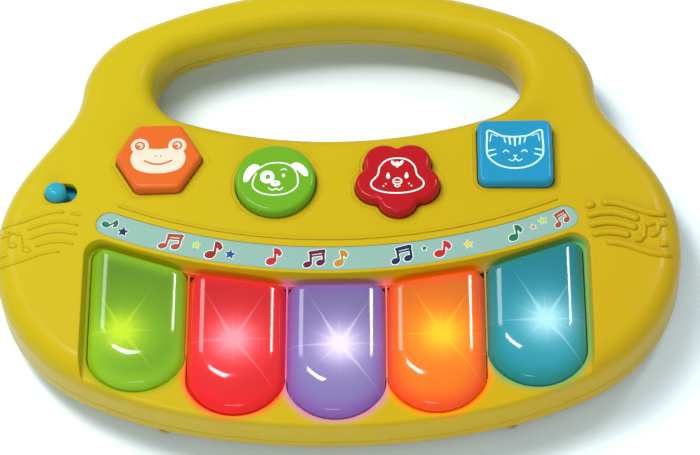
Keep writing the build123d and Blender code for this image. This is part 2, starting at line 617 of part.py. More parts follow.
def make_led(x, y):
    """Round LED on its leads."""
    low = KEY_BOARD_Z + BOARD
    lens = post(x, y, 2.5, low + 1, low + 4.5) + Pos(x, y, low + 4.5) * Sphere(2.5)
    return lens + post(x, y, 2.9, low, low + 1)


def make_screw(x, y, seat, shank, head, head_height, length):
    """Screw whose head is below its seat and whose shank points up; a cross is sunk in the head."""
    low = seat - head_height
    screw = post(x, y, head, low, seat) + post(x, y, shank, seat, seat + length)
    for turn in (0, 90):
        slot = Box(head * CROSS_LENGTH, head * CROSS_WIDTH, head_height, align=Align.CENTER)
        screw -= Pos(x, y, low) * Rot(0, 0, turn) * slot
    return screw


def make_down_screw(x, y, seat):
    """Small screw driven from above."""
    screw = post(x, y, SMALL_HEAD, seat, seat + SMALL_HEAD_HEIGHT)
    screw += post(x, y, SMALL_SHANK, seat - SMALL_LENGTH + 1, seat)
    for turn in (0, 90):
        slot = Box(SMALL_HEAD * CROSS_LENGTH, SMALL_HEAD * CROSS_WIDTH, 1, align=Align.CENTER)
        screw -= Pos(x, y, seat + SMALL_HEAD_HEIGHT) * Rot(0, 0, turn) * slot
    return screw


def make_cell(index):
    """AA cell; neighbours point opposite ways."""
    way = 1 if index % 2 else -1
    y = BOX_Y + (index - 1) * CELL_PITCH
    nub_end = way * (BOX_HALF_X - PLATE_METAL)
    turn = Pos(nub_end, y, CELL_Z) * Rot(0, -90 * way, 0)
    nub = Cylinder(CELL_NUB_RADIUS, CELL_NUB, align=LOW)
    can = Pos(0, 0, CELL_NUB) * Cylinder(CELL_RADIUS, CELL_LENGTH, align=LOW)
    return turn * (nub + can)


def make_springs():
    """Coil springs at the flat end of each cell."""
    free = 2 * (BOX_HALF_X - PLATE_METAL) - CELL_LENGTH - CELL_NUB
    springs = []
    for index in range(3):
        way = 1 if index % 2 else -1
        y = BOX_Y + (index - 1) * CELL_PITCH
        place = Pos(-way * (BOX_HALF_X - PLATE_METAL), y, CELL_Z) * Rot(0, 90 * way, 0)
        coil = Helix(SPRING_PITCH, free - 2 * SPRING_WIRE, SPRING_RADIUS)
        wire = sweep(Plane(coil @ 0, z_dir=coil % 0) * Circle(SPRING_WIRE), path=coil)
        springs.append(place * Pos(0, 0, SPRING_WIRE) * wire)
    return springs


def make_plates():
    plates = []
    for side in (-1, 1):
        x = side * (BOX_HALF_X - PLATE_METAL / 2)
        for index in range(3):
            y = BOX_Y + (index - 1) * CELL_PITCH
            plates.append(Pos(x, y, CELL_Z) * Box(PLATE_METAL, 10, 11))
    return plates


def make_speaker():
    """Frame, paper cone and magnet of the loudspeaker, which faces down."""
    x, y, z = SPEAKER_X, SPEAKER_Y, SPEAKER_SEAT_Z
    cup = Cone(18.6, MAGNET_RADIUS, 5, align=LOW) - Cone(17.8, MAGNET_RADIUS - 0.8, 4.2, align=LOW)
    flange = Cylinder(SPEAKER_RADIUS, 1, align=LOW) - Cylinder(17, 1, align=LOW)
    frame = Pos(x, y, z) * (flange + Pos(0, 0, 1) * (cup - Cylinder(6, 6, align=LOW)))
    paper = Cone(16.8, 5, 3.6, align=LOW) - Pos(0, 0, -0.5) * Cone(16.8, 5, 3.6, align=LOW)
    cap = Pos(0, 0, 3.1) * Cylinder(5, 0.5, align=LOW)
    cone = Pos(x, y, z + 0.9) * (paper + cap)
    magnet = post(x, y, MAGNET_RADIUS, z + 6, z + 6 + MAGNET_HEIGHT)
    return frame, cone, magnet


def wire(points, radius=WIRE_RADIUS, bend=3.0):
    """Round wire along straight runs joined by arcs."""
    path = FilletPolyline(*points, radius=bend)
    return sweep(Plane(path @ 0, z_dir=path % 0) * Circle(radius), path=path)


def flat_cable(points, x0, x1, thickness=0.4):
    """Flat cable whose side view is a bent strip; points are Y and Z of its underside."""
    side = Polyline(*[(0, y, z) for y, z in points])
    back = Polyline(*[(0, y, z + thickness) for y, z in reversed(points)])
    closing = [Line(side @ 1, back @ 0), Line(back @ 1, side @ 0)]
    face = make_face([*side.edges(), *back.edges(), *[edge for line in closing for edge in line.edges()]])
    return Pos(x0, 0, 0) * extrude(face, x1 - x0, dir=(1, 0, 0))


# ---------------------------------------------------------------- all nodes
def build_nodes():
    bottom = make_bottom_block(0, PARTING_Z)
    nodes = {"upper_housing": make_upper_housing(), "lower_housing": make_lower_housing(bottom)}
    nodes["battery_cover"] = make_battery_cover(bottom)
    film = strip_face(STRIP_WIDTH, STRIP_ARC, STRIP_SPAN)
    nodes["decal_strip"] = on_panel(film, STRIP_DEPTH, STRIP_DEPTH - 0.25)
    nodes["slider_knob"] = make_slider_knob()
    for name, x, front in key_places():
        nodes[f"key_{name}"] = make_key(x, front)
        dome_y = front + KEY_DOME_INSET
        nodes[f"dome_key_{name}"] = make_dome(x, dome_y, KEY_BOARD_Z + BOARD, KEY_DOME_HEIGHT)
    for name, plan_of, place in BUTTONS:
        x, y, _, _ = button_levels(place)
        nodes[f"button_{name}"] = make_button(plan_of, place)
        nodes[f"dome_{name}"] = make_dome(x, y, MAIN_BOARD_Z + BOARD, BUTTON_DOME_HEIGHT)
    nodes["main_board"] = make_main_board()
    nodes["key_board"] = make_key_board()
    nodes["switch_board"] = make_switch_board()
    nodes["key_leds"] = [make_led(x, (front + arc_y(KEY_ARC, x)) / 2) for _, x, front in key_places()]
    top = MAIN_BOARD_Z + BOARD
    nodes["sound_chip"] = block(-3, 3, -2, 6, top, top + 1.2)
    nodes["board_capacitor"] = post(0, -10, 2.5, top, top + 6)
    nodes["board_resistors"] = [block(x, x + 3, -11, -9.4, top, top + 0.8) for x in (-62, -57, 54, 59)]
    can_low = SWITCH_BOARD_Z + BOARD
    lever_low = can_low + SWITCH_CAN_HEIGHT + 0.1
    can_place = Pos(SLIDER_X + SLIDER_TRAVEL / 2, SLIDER_Y, can_low)
    nodes["slide_switch_can"] = can_place * Box(13, 7, SWITCH_CAN_HEIGHT, align=LOW)
    lever = Box(2, 2, PLATE_Z - lever_low, align=LOW)
    nodes["slide_switch_lever"] = Pos(SLIDER_X, SLIDER_Y, lever_low) * lever
    nodes["housing_screws"] = [
        make_screw(x, y, seat_z(y), SCREW_SHANK, SCREW_HEAD, SCREW_HEAD_HEIGHT, SCREW_LENGTH)
        for x, y in housing_screw_places()
    ]
    small = [
        make_screw(x, y, MAIN_BOARD_Z, SMALL_SHANK, SMALL_HEAD, SMALL_HEAD_HEIGHT, SMALL_LENGTH)
        for x, y in MAIN_BOARD_SCREWS
    ]
    small += [make_down_screw(x, y, KEY_BOARD_Z + BOARD) for x, y in KEY_BOARD_SCREWS]
    small += [make_down_screw(x, y, SWITCH_BOARD_Z + BOARD) for x, y in SWITCH_BOARD_SCREWS]
    nodes["board_screws"] = small
    frame, cone, magnet = make_speaker()
    nodes["speaker_frame"] = frame
    nodes["speaker_cone"] = cone
    nodes["speaker_magnet"] = magnet
    clamp_z = SPEAKER_SEAT_Z + 1
    head_z = clamp_z + CLAMP_THICKNESS
    washer = Circle(4) - Circle(SMALL_SHANK + 0.1)
    nodes["speaker_clamps"] = [prism(Pos(x, y) * washer, clamp_z, head_z) for x, y in clamp_places()]
    nodes["speaker_screws"] = [
        post(x, y, SMALL_SHANK, SPEAKER_FLOOR_Z, head_z) + post(x, y, 1.9, head_z, head_z + 1.2)
        for x, y in clamp_places()
    ]
    for index in range(3):
        nodes[f"battery_cell_{index + 1}"] = make_cell(index)
    nodes["battery_springs"] = make_springs()
    nodes["battery_plates"] = make_plates()
    nodes["battery_cover_screw"] = make_screw(
        0, COVER_LUG_Y, COVER_SEAT_Z, COVER_SCREW_RADIUS - 0.25, COVER_SCREW_RADIUS + 1.3, 1.2, 6
    )
    top = KEY_BOARD_Z + BOARD
    main_top = MAIN_BOARD_Z + BOARD
    ribbon = [(-14.5, main_top), (-20, main_top), (-46, top), (-49, top)]
    nodes["key_ribbon"] = flat_cable(ribbon, -6, 6)
    wall = -BOX_HALF_X - BOX_WALL
    run = BATTERY_WIRE_Z
    red_route = [(wall, -26, run), (-37, -26, run), (-37, -14, run), (-37, -14, MAIN_BOARD_Z)]
    black_route = [(wall, 4, run), (-36, 4, run), (-42, 4, run + 2), (-42, 4, MAIN_BOARD_Z)]
    nodes["wire_battery_red"] = wire(red_route)
    nodes["wire_battery_black"] = wire(black_route, bend=2)
    for name, shift in (("red", -2), ("black", 2)):
        x, y = SPEAKER_X + 19.2, SPEAKER_Y + shift
        route = [(x, y, SPEAKER_SEAT_Z + 1), (x, y, 14), (x + 3, y + 4, 18), (x + 3, y + 4, MAIN_BOARD_Z)]
        nodes[f"wire_speaker_{name}"] = wire(route, radius=THIN_WIRE_RADIUS, bend=2)
    edge = SLIDER_X + SLIDER_TRAVEL / 2 + SWITCH_BOARD_LENGTH / 2
    level = SWITCH_BOARD_Z + BOARD / 2
    nodes["wires_switch"] = []
    for y in (4.2, 5.7, 7.2):
        route = [(edge, y, level), (edge + 6, y, level), (edge + 6, y, MAIN_BOARD_Z)]
        nodes["wires_switch"].append(wire(route, radius=THIN_WIRE_RADIUS, bend=1.5))
    return nodes


def main():
    os.makedirs("parts", exist_ok=True)
    for name, shape in build_nodes().items():
        group = Compound(children=shape) if isinstance(shape, list) else shape
        export_step(group, f"parts/{name}.step")


main()
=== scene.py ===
from math import atan2, cos, pi, radians, sin, sqrt

import bmesh
import bpy
from mathutils import Matrix, Vector
from mathutils.bvhtree import BVHTree


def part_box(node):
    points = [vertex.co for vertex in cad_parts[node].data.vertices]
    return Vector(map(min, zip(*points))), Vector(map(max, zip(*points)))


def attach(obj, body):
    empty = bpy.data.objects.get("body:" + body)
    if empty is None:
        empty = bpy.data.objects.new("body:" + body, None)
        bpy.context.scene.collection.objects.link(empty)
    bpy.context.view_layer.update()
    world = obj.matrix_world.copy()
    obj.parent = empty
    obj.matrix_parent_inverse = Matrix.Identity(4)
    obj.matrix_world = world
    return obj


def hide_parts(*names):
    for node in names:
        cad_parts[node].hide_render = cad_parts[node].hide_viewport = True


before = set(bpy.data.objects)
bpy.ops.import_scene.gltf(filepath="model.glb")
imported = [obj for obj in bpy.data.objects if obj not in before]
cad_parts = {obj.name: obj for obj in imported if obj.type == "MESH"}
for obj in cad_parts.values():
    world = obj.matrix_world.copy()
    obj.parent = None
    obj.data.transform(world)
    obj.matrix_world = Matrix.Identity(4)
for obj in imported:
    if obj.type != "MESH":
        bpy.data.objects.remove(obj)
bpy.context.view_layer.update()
MM = 0.001

# ---------------------------------------------------------------- layout, in millimetres
# The playing face is laid out on arcs about one point behind the toy.
ARC_Y = 195.6
STRIP_ARC, KEY_ARC = 229.5, 239.6
# A key's stop flange stands this far out past its nose.
FLANGE_REACH = 1.2
# The middle of the flower's petals lies this far behind the middle of its box.
FLOWER_SHIFT = 0.9
# Ink starts below the surface and ends proud of it, and each later layer is higher by LAYER.
PRINT_THICKNESS, PRINT_FOOT, LAYER = 0.012, -0.02, 0.001


def middle(node):
    """Middle of a CAD node's box in X and Y, and its top, in millimetres."""
    low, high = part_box(node)
    return (low.x + high.x) / 2 / MM, (low.y + high.y) / 2 / MM, high.z / MM


def arc_point(radius, x):
    """Place on a layout arc at a given X, and the arc's slope there."""
    return x, ARC_Y - sqrt(radius**2 - x**2), atan2(x, sqrt(radius**2 - x**2))


# ---------------------------------------------------------------- node helpers
def put(tree, value, socket):
    if isinstance(value, bpy.types.NodeSocket):
        tree.links.new(value, socket)
    else:
        socket.default_value = value


def add(tree, kind, values=None, **settings):
    """New node with its settings; values maps input names or numbers to sockets or constants."""
    made = tree.nodes.new(kind)
    for key, value in settings.items():
        setattr(made, key, value)
    for key, value in (values or {}).items():
        put(tree, value, made.inputs[key])
    return made


def calc(tree, operation, first, second=0.0, third=0.0, clamp=False):
    values = {0: first, 1: second, 2: third}
    return add(tree, "ShaderNodeMath", values, operation=operation, use_clamp=clamp).outputs[0]


def smooth_step(tree, value, start, end):
    """0 at start and 1 at end, eased between; start may be the larger."""
    values = {"Value": value, "From Min": start, "From Max": end}
    return add(tree, "ShaderNodeMapRange", values, interpolation_type="SMOOTHSTEP").outputs[0]


def blend_colour(tree, factor, first, second, mode="MIX"):
    made = add(tree, "ShaderNodeMix", data_type="RGBA", blend_type=mode)
    put(tree, factor, made.inputs[0])
    put(tree, first, made.inputs[6])
    put(tree, second, made.inputs[7])
    return made.outputs[2]


def shade(colour, factor):
    """Colour made lighter or darker, with alpha."""
    return (*[min(1.0, channel * factor) for channel in colour[:3]], 1.0)


def noise(tree, scale, detail=2.0):
    place = add(tree, "ShaderNodeTexCoord").outputs["Object"]
    values = {"Vector": place, "Scale": scale, "Detail": detail}
    return add(tree, "ShaderNodeTexNoise", values).outputs["Fac"]


def new_material(name):
    made = bpy.data.materials.new(name)
    made.use_nodes = True
    return made, made.node_tree, made.node_tree.nodes["Principled BSDF"]


BLACK = (0, 0, 0, 1)
BEVEL_SAMPLES, GRAIN_DEPTH = 6, 0.05


def softened(tree, radius):
    """Normal with rounded edges."""
    return add(tree, "ShaderNodeBevel", {"Radius": radius * MM}, samples=BEVEL_SAMPLES).outputs[0]


def grained(tree, normal, height, strength=0.15):
    """Normal with a fine grain on it."""
    values = {"Strength": strength, "Distance": GRAIN_DEPTH * MM, "Height": height, "Normal": normal}
    return add(tree, "ShaderNodeBump", values).outputs[0]


# painted shade: how the darker orange comes in towards the right and the front: share at the toy's
# middle, and its change per metre along X and Y
PAINTED_SHADE_START, PAINTED_SHADE_X, PAINTED_SHADE_Y = 0.45, 2.6, -2.2
# painted highlight: the edges are lightened by this share, to this many times the colour
EDGE_HIGHLIGHT_SHARE, EDGE_HIGHLIGHT_GAIN = 0.8, 1.3
# share of a lit key's colour in the surface next to it, and how brightly that surface glows
SPILL_TINT, SPILL_GLOW = 0.8, 0.24
DRIFT_SCALE, FLOW_SCALE, FLOW_GLOSS = 22.0, 160.0, 0.1
GRAIN_SCALE, GRAIN_STRENGTH = 900.0, 0.12
MOTTLE_GLOSS = 0.2


def plastic(name, colour, roughness=0.3, coat=0.03, edge=0.8, drift=0.05, painted_shade_colour=None, spill=()):
    """Glossy moulded plastic: slight colour drift, flow marks in the gloss, fine grain, painted edge
    highlights.

    Its second colour is painted shade, a darker orange towards the right and the front; spill gives the
    looks of the lit keys that shine on it.
    """
    made, tree, shader = new_material(name)
    drift_noise = noise(tree, DRIFT_SCALE, 3.0)
    base = blend_colour(tree, drift_noise, shade(colour, 1 - drift), shade(colour, 1 + drift))
    # painted shade: the colour turns a darker orange towards the right and the front
    if painted_shade_colour:
        place = add(tree, "ShaderNodeTexCoord").outputs["Object"]
        split = add(tree, "ShaderNodeSeparateXYZ", {0: place}).outputs
        painted_shade_share = calc(tree, "MULTIPLY_ADD", split["X"], PAINTED_SHADE_X, PAINTED_SHADE_START)
        painted_shade_share = calc(tree, "MULTIPLY_ADD", split["Y"], PAINTED_SHADE_Y, painted_shade_share, clamp=True)
        base = blend_colour(tree, painted_shade_share, base, (*painted_shade_colour, 1.0))
    soft = softened(tree, edge)
    # painted highlight: where the rounded normal turns from the flat one, at the edges, the colour is
    # made lighter
    sharp = add(tree, "ShaderNodeNewGeometry").outputs["Normal"]
    facing = add(tree, "ShaderNodeVectorMath", {0: soft, 1: sharp}, operation="DOT_PRODUCT")
    turned = calc(tree, "SUBTRACT", 1.0, facing.outputs["Value"], clamp=True)
    edge_highlight = calc(tree, "MULTIPLY", turned, EDGE_HIGHLIGHT_SHARE)
    base = blend_colour(tree, edge_highlight, base, shade(colour, EDGE_HIGHLIGHT_GAIN))
    glow = None
    for key_look in spill:
        share = spill_share(tree, key_look["box"])
        tint = (*key_look["spill"], 1.0)
        base = blend_colour(tree, calc(tree, "MULTIPLY", share, SPILL_TINT), base, tint)
        dim = blend_colour(tree, share, BLACK, shade(tint, SPILL_GLOW))
        glow = dim if glow is None else blend_colour(tree, 1.0, glow, dim, mode="ADD")
    if glow is not None:
        put(tree, glow, shader.inputs["Emission Color"])
        shader.inputs["Emission Strength"].default_value = 1.0
    put(tree, base, shader.inputs["Base Color"])
    marks = noise(tree, FLOW_SCALE, 4.0)
    gloss = calc(tree, "MULTIPLY_ADD", marks, FLOW_GLOSS, roughness - FLOW_GLOSS / 2)
    put(tree, gloss, shader.inputs["Roughness"])
    fine = noise(tree, GRAIN_SCALE)
    put(tree, grained(tree, soft, fine, GRAIN_STRENGTH), shader.inputs["Normal"])
    shader.inputs["Coat Weight"].default_value = coat
    shader.inputs["Coat Roughness"].default_value = 0.06
    shader.inputs["Specular IOR Level"].default_value = 0.12
    return made


def dull(name, colour, roughness=0.6, metallic=0.0, scale=400.0, drift=0.12):
    """Simple procedural finish for inks and inner parts: mottled colour, grainy surface."""
    made, tree, shader = new_material(name)
    mottle = noise(tree, scale, 4.0)
    base = blend_colour(tree, mottle, shade(colour, 1 - drift), shade(colour, 1 + drift))
    put(tree, base, shader.inputs["Base Color"])
    gloss = calc(tree, "MULTIPLY_ADD", mottle, MOTTLE_GLOSS, roughness - MOTTLE_GLOSS / 2)
    put(tree, gloss, shader.inputs["Roughness"])
    shader.inputs["Metallic"].default_value = metallic
    shader.inputs["Specular IOR Level"].default_value = 0.3
    put(tree, grained(tree, softened(tree, 0.2), mottle), shader.inputs["Normal"])
    return made


# ---------------------------------------------------------------- glow of a lit key, in millimetres
# The light spills this far past a key's outline, from SPILL_LOW up to SPILL_TOP, and in full between
# SPILL_HIGH and SPILL_FADE.
SPILL_REACH = 4.6
SPILL_LOW, SPILL_HIGH, SPILL_FADE, SPILL_TOP = 22.0, 28.0, 30.0, 34.0
NOSE_ROUND, RIM_WIDTH = 17.0, 8.0


def outline_reach(tree, place, box):
    """Distance of a place from a key's core.

    The key's own outline, with its round nose, is at NOSE_ROUND.
    """
    x_mid, half, y_low = box
    split = add(tree, "ShaderNodeSeparateXYZ", {0: place}).outputs
    aside = calc(tree, "ABSOLUTE", calc(tree, "SUBTRACT", split["X"], x_mid * MM))
    aside = calc(tree, "MAXIMUM", calc(tree, "SUBTRACT", aside, (half - NOSE_ROUND) * MM), 0.0)
    before = calc(tree, "MAXIMUM", calc(tree, "SUBTRACT", (y_low + NOSE_ROUND) * MM, split["Y"]), 0.0)
    squares = calc(tree, "MULTIPLY_ADD", aside, aside, calc(tree, "MULTIPLY", before, before))
    depth = calc(tree, "SUBTRACT", ARC_Y * MM, split["Y"])
    arc = calc(tree, "MULTIPLY_ADD", split["X"], split["X"], calc(tree, "MULTIPLY", depth, depth))
    behind = calc(tree, "SUBTRACT", (NOSE_ROUND + KEY_ARC) * MM, calc(tree, "SQRT", arc))
    return calc(tree, "MAXIMUM", calc(tree, "SQRT", squares), behind)


def spill_share(tree, box):
    """How much of a lit key's light reaches a place: all of it at the outline, fading away from it."""
    place = add(tree, "ShaderNodeTexCoord").outputs["Object"]
    away = outline_reach(tree, place, box)
    reach = smooth_step(tree, away, (NOSE_ROUND + SPILL_REACH) * MM, NOSE_ROUND * MM)
    height = add(tree, "ShaderNodeSeparateXYZ", {0: place}).outputs["Z"]
    low = smooth_step(tree, height, SPILL_LOW * MM, SPILL_HIGH * MM)
    top = smooth_step(tree, height, SPILL_TOP * MM, SPILL_FADE * MM)
    return calc(tree, "MULTIPLY", calc(tree, "MULTIPLY", reach, low), top)


# rays of a lamp's flare: turn in degrees, length and half width in mm, strength
RAYS = [
    (118, 9.0, 1.7, 0.85), (60, 8.5, 1.7, 0.85), (180, 9.0, 1.3, 0.6), (2, 7.0, 1.2, 0.45),
    (-52, 9.0, 1.6, 0.7), (150, 5.0, 1.9, 0.5), (92, 4.5, 1.9, 0.5), (30, 4.5, 1.9, 0.5),
    (-25, 4.0, 1.9, 0.5), (-90, 4.0, 1.9, 0.5), (-135, 5.0, 1.9, 0.5),
]
CORE_RADIUS, CORE_POWER, HALO_LENGTH = 5.2, 1.5, 9.0
RAY_TAPER, RAY_START = 2.2, 3.5


def make_flare_group():
    """Node group: a place counted from a lamp's middle in, strengths of its flare and its halo out."""
    group = bpy.data.node_groups.new("lamp_flare", "ShaderNodeTree")
    group.interface.new_socket("Place", in_out="INPUT", socket_type="NodeSocketVector")
    group.interface.new_socket("Flare", in_out="OUTPUT", socket_type="NodeSocketFloat")
    group.interface.new_socket("Halo", in_out="OUTPUT", socket_type="NodeSocketFloat")
    entry = group.nodes.new("NodeGroupInput").outputs[0]
    split = add(group, "ShaderNodeSeparateXYZ", {0: entry}).outputs
    x, y = split["X"], split["Y"]
    squares = calc(group, "ADD", calc(group, "MULTIPLY", x, x), calc(group, "MULTIPLY", y, y))
    distance = calc(group, "SQRT", squares)
    falloff = calc(group, "POWER", calc(group, "MULTIPLY", distance, 1 / CORE_RADIUS), CORE_POWER)
    flare = calc(group, "EXPONENT", calc(group, "MULTIPLY", falloff, -1.0))
    for turn, length, width, strength in RAYS:
        c, s = cos(radians(turn)), sin(radians(turn))
        along = calc(group, "ADD", calc(group, "MULTIPLY", x, c), calc(group, "MULTIPLY", y, s))
        aside = calc(group, "SUBTRACT", calc(group, "MULTIPLY", y, c), calc(group, "MULTIPLY", x, s))
        taper = calc(group, "EXPONENT", calc(group, "MULTIPLY", along, RAY_TAPER / length))
        narrow = calc(group, "MULTIPLY", calc(group, "MULTIPLY", aside, aside), -1 / width**2)
        narrow = calc(group, "MULTIPLY", narrow, taper)
        fade = calc(group, "MULTIPLY", calc(group, "MAXIMUM", along, 0.0), -1 / length)
        ahead = calc(group, "MULTIPLY", along, 1 / RAY_START, clamp=True)
        ray = calc(group, "EXPONENT", calc(group, "ADD", narrow, fade))
        ray = calc(group, "MULTIPLY", calc(group, "MULTIPLY", ray, ahead), strength)
        flare = calc(group, "ADD", flare, ray)
    halo = calc(group, "EXPONENT", calc(group, "MULTIPLY", distance, -1 / HALO_LENGTH))
    leave = group.nodes.new("NodeGroupOutput")
    group.links.new(flare, leave.inputs[0])
    group.links.new(halo, leave.inputs[1])
    return group


RIM_SHARE, HALO_SHARE, INNER_SHARE, FLARE_GAIN = 0.9, 0.9, 0.33, 2.2
BODY_SCALE, BODY_DRIFT = 60.0, 0.07
# painted shade, darker towards the key's back: the body's colour falls to this share, from the first
# distance in front of the lamp to the second behind it
BACK_SHADE_SHARE, BACK_SHADE_BEFORE, BACK_SHADE_BEHIND = 0.72, 10.0, 30.0
KEY_GRAIN_SCALE, KEY_GRAIN_STRENGTH, KEY_EDGE = 1500.0, 0.05, 0.5
KEY_SMOOTH, KEY_UNEVEN = 0.09, 0.06


def lit_plastic(name, look, group):
    """Clear coloured plastic over a lamp.

    Its body colour turns to the rim's at the edge, and it has an inner glow and the lamp's flare.
    """
    made, tree, shader = new_material(name)
    place = add(tree, "ShaderNodeTexCoord").outputs["Object"]
    x_lamp, y_lamp = look["lamp_place"]
    values = {"Vector": place, "Location": (-x_lamp, -y_lamp, 0.0), "Scale": (1 / MM, 1 / MM, 1 / MM)}
    flare = add(tree, "ShaderNodeGroup", node_tree=group)
    tree.links.new(add(tree, "ShaderNodeMapping", values).outputs[0], flare.inputs[0])
    away = outline_reach(tree, place, look["box"])
    edge = smooth_step(tree, away, (NOSE_ROUND - RIM_WIDTH) * MM, NOSE_ROUND * MM)
    rim = calc(tree, "MULTIPLY", edge, RIM_SHARE)
    mottle = noise(tree, BODY_SCALE)
    dark, light = shade(look["body"], 1 - BODY_DRIFT), shade(look["body"], 1 + BODY_DRIFT)
    body = blend_colour(tree, mottle, dark, light)
    # painted shade: the key's body darkens away from its lamp, towards its back
    along = add(tree, "ShaderNodeSeparateXYZ", {0: place}).outputs["Y"]
    nearness = smooth_step(tree, along, (y_lamp + BACK_SHADE_BEHIND) * MM, (y_lamp - BACK_SHADE_BEFORE) * MM)
    body = blend_colour(tree, nearness, blend_colour(tree, BACK_SHADE_SHARE, BLACK, body), body)
    base = blend_colour(tree, rim, body, (*look["rim"], 1.0))
    put(tree, base, shader.inputs["Base Color"])
    spent = calc(tree, "EXPONENT", calc(tree, "MULTIPLY", flare.outputs["Flare"], -FLARE_GAIN))
    strong = calc(tree, "SUBTRACT", 1.0, spent)
    soft = calc(tree, "MULTIPLY", flare.outputs["Halo"], HALO_SHARE)
    inner = blend_colour(tree, INNER_SHARE, BLACK, base)
    halo = blend_colour(tree, soft, inner, (*look["halo"], 1.0))
    put(tree, blend_colour(tree, strong, halo, (*look["lamp"], 1.0)), shader.inputs["Emission Color"])
    shader.inputs["Emission Strength"].default_value = 1.0
    shader.inputs["Subsurface Weight"].default_value = 0.25
    shader.inputs["Subsurface Radius"].default_value = (1.0, 1.0, 1.0)
    shader.inputs["Subsurface Scale"].default_value = 2.5 * MM
    put(tree, calc(tree, "MULTIPLY_ADD", mottle, KEY_UNEVEN, KEY_SMOOTH), shader.inputs["Roughness"])
    grain = noise(tree, KEY_GRAIN_SCALE)
    normal = grained(tree, softened(tree, KEY_EDGE), grain, KEY_GRAIN_STRENGTH)
    put(tree, normal, shader.inputs["Normal"])
    shader.inputs["Coat Weight"].default_value = 0.5
    shader.inputs["Specular IOR Level"].default_value = 0.35
    shader.inputs["Coat Roughness"].default_value = 0.04
    return made


# ---------------------------------------------------------------- flat printed shapes
CURVE_STEPS, CAP_STEPS = 7, 6


def curve_value(before, start, end, after, t):
    """Catmull-Rom value at a share t of the way from start to end."""
    square = (2 * before - 5 * start + 4 * end - after) * t**2
    cube = (3 * start - before - 3 * end + after) * t**3
    return 0.5 * (2 * start + (end - before) * t + square + cube)


def smooth_line(points, closed):
    """Smooth line through a few points."""
    count = len(points)
    line = []
    for index in range(count if closed else count - 1):
        places = [index + k for k in (-1, 0, 1, 2)]
        if closed:
            near = [points[place % count] for place in places]
        else:
            near = [points[min(max(place, 0), count - 1)] for place in places]
        for step in range(CURVE_STEPS):
            line.append(tuple(curve_value(*four, step / CURVE_STEPS) for four in zip(*near)))
    if not closed:
        line.append(points[-1])
    return line


def ellipse(x, y, rx, ry=None, turn=0.0, count=28):
    ry = rx if ry is None else ry
    c, s = cos(radians(turn)), sin(radians(turn))
    flat = [(rx * cos(2 * pi * k / count), ry * sin(2 * pi * k / count)) for k in range(count)]
    return [(x + c * a - s * b, y + s * a + c * b) for a, b in flat]


def stroke(points, width, closed=False):
    """Left and right side of a line of that width."""
    count = len(points)
    sides = ([], [])
    for index, (x, y) in enumerate(points):
        before = points[index - 1] if closed or index else points[0]
        after = points[(index + 1) % count] if closed or index < count - 1 else points[-1]
        dx, dy = after[0] - before[0], after[1] - before[1]
        length = sqrt(dx * dx + dy * dy) or 1.0
        nx, ny = -dy / length * width / 2, dx / length * width / 2
        sides[0].append((x + nx, y + ny))
        sides[1].append((x - nx, y - ny))
    return sides


def cap_points(end, before, width):
    """Round end of a line, from its left side to its right."""
    heading = atan2(end[1] - before[1], end[0] - before[0])
    turns = [heading + pi / 2 - pi * k / CAP_STEPS for k in range(1, CAP_STEPS)]
    return [(end[0] + width / 2 * cos(turn), end[1] + width / 2 * sin(turn)) for turn in turns]


class Print:
    """Thin layer of ink on a surface; place turns flat millimetres and a height into a point."""

    def __init__(self, name, place):
        self.name, self.place, self.mesh, self.level = name, place, bmesh.new(), 0

    def next_top(self):
        """Height of the next layer, just above the one before."""
        self.level += 1
        return PRINT_THICKNESS + LAYER * (self.level - 1)

    def prism(self, loop):
        top = self.next_top()
        upper = [self.mesh.verts.new(self.place(x, y, top)) for x, y in loop]
        lower = [self.mesh.verts.new(self.place(x, y, PRINT_FOOT)) for x, y in loop]
        self.mesh.faces.new(upper)
        self.mesh.faces.new(list(reversed(lower)))
        for k in range(len(loop)):
            n = (k + 1) % len(loop)
            self.mesh.faces.new((upper[k], lower[k], lower[n], upper[n]))

    def blob(self, points, smooth=True):
        self.prism(smooth_line(points, True) if smooth else points)

    def line(self, points, width, closed=False, smooth=True):
        route = smooth_line(points, closed) if smooth else points
        left, right = stroke(route, width, closed)
        if not closed:
            end = cap_points(route[-1], route[-2], width)
            start = cap_points(route[0], route[1], width)
            self.prism(left + end + list(reversed(right)) + start)
            return
        top = self.next_top()
        corners = ((left, top), (right, top), (right, PRINT_FOOT), (left, PRINT_FOOT))
        rings = [[self.mesh.verts.new(self.place(x, y, z)) for x, y in side] for side, z in corners]
        for k in range(len(route)):
            n = (k + 1) % len(route)
            for a, b in ((0, 1), (1, 2), (2, 3), (3, 0)):
                self.mesh.faces.new((rings[a][k], rings[b][k], rings[b][n], rings[a][n]))

    def finish(self, body, material):
        bmesh.ops.recalc_face_normals(self.mesh, faces=self.mesh.faces)
        add_piece(self.name, self.mesh, body, material)


def add_piece(name, mesh, body, material, smooth=False):
    data = bpy.data.meshes.new(name)
    mesh.to_mesh(data)
    mesh.free()
    made = bpy.data.objects.new(name, data)
    bpy.context.scene.collection.objects.link(made)
    data.materials.append(material)
    if smooth:
        data.shade_smooth()
    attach(made, body)
    return made


def on_button(shape):
    """Place on a button's flat top, upright for the player."""
    x0, y0, top = middle(f"button_{shape}")
    if shape == "flower":
        y0 += FLOWER_SHIFT
    return lambda x, y, z: Vector((x0 + x, y0 + y, top + z)) * MM


def above(place, layers):
    """The same place, raised to print over that many layers."""
    return lambda x, y, z: place(x, y, z + layers * LAYER)


# a ray cast down from this height in metres, and again this far aside where it slips between faces
RAY_HEIGHT, RAY_SHIFTS = 0.1, (0.0, 0.013, -0.017, 0.05)


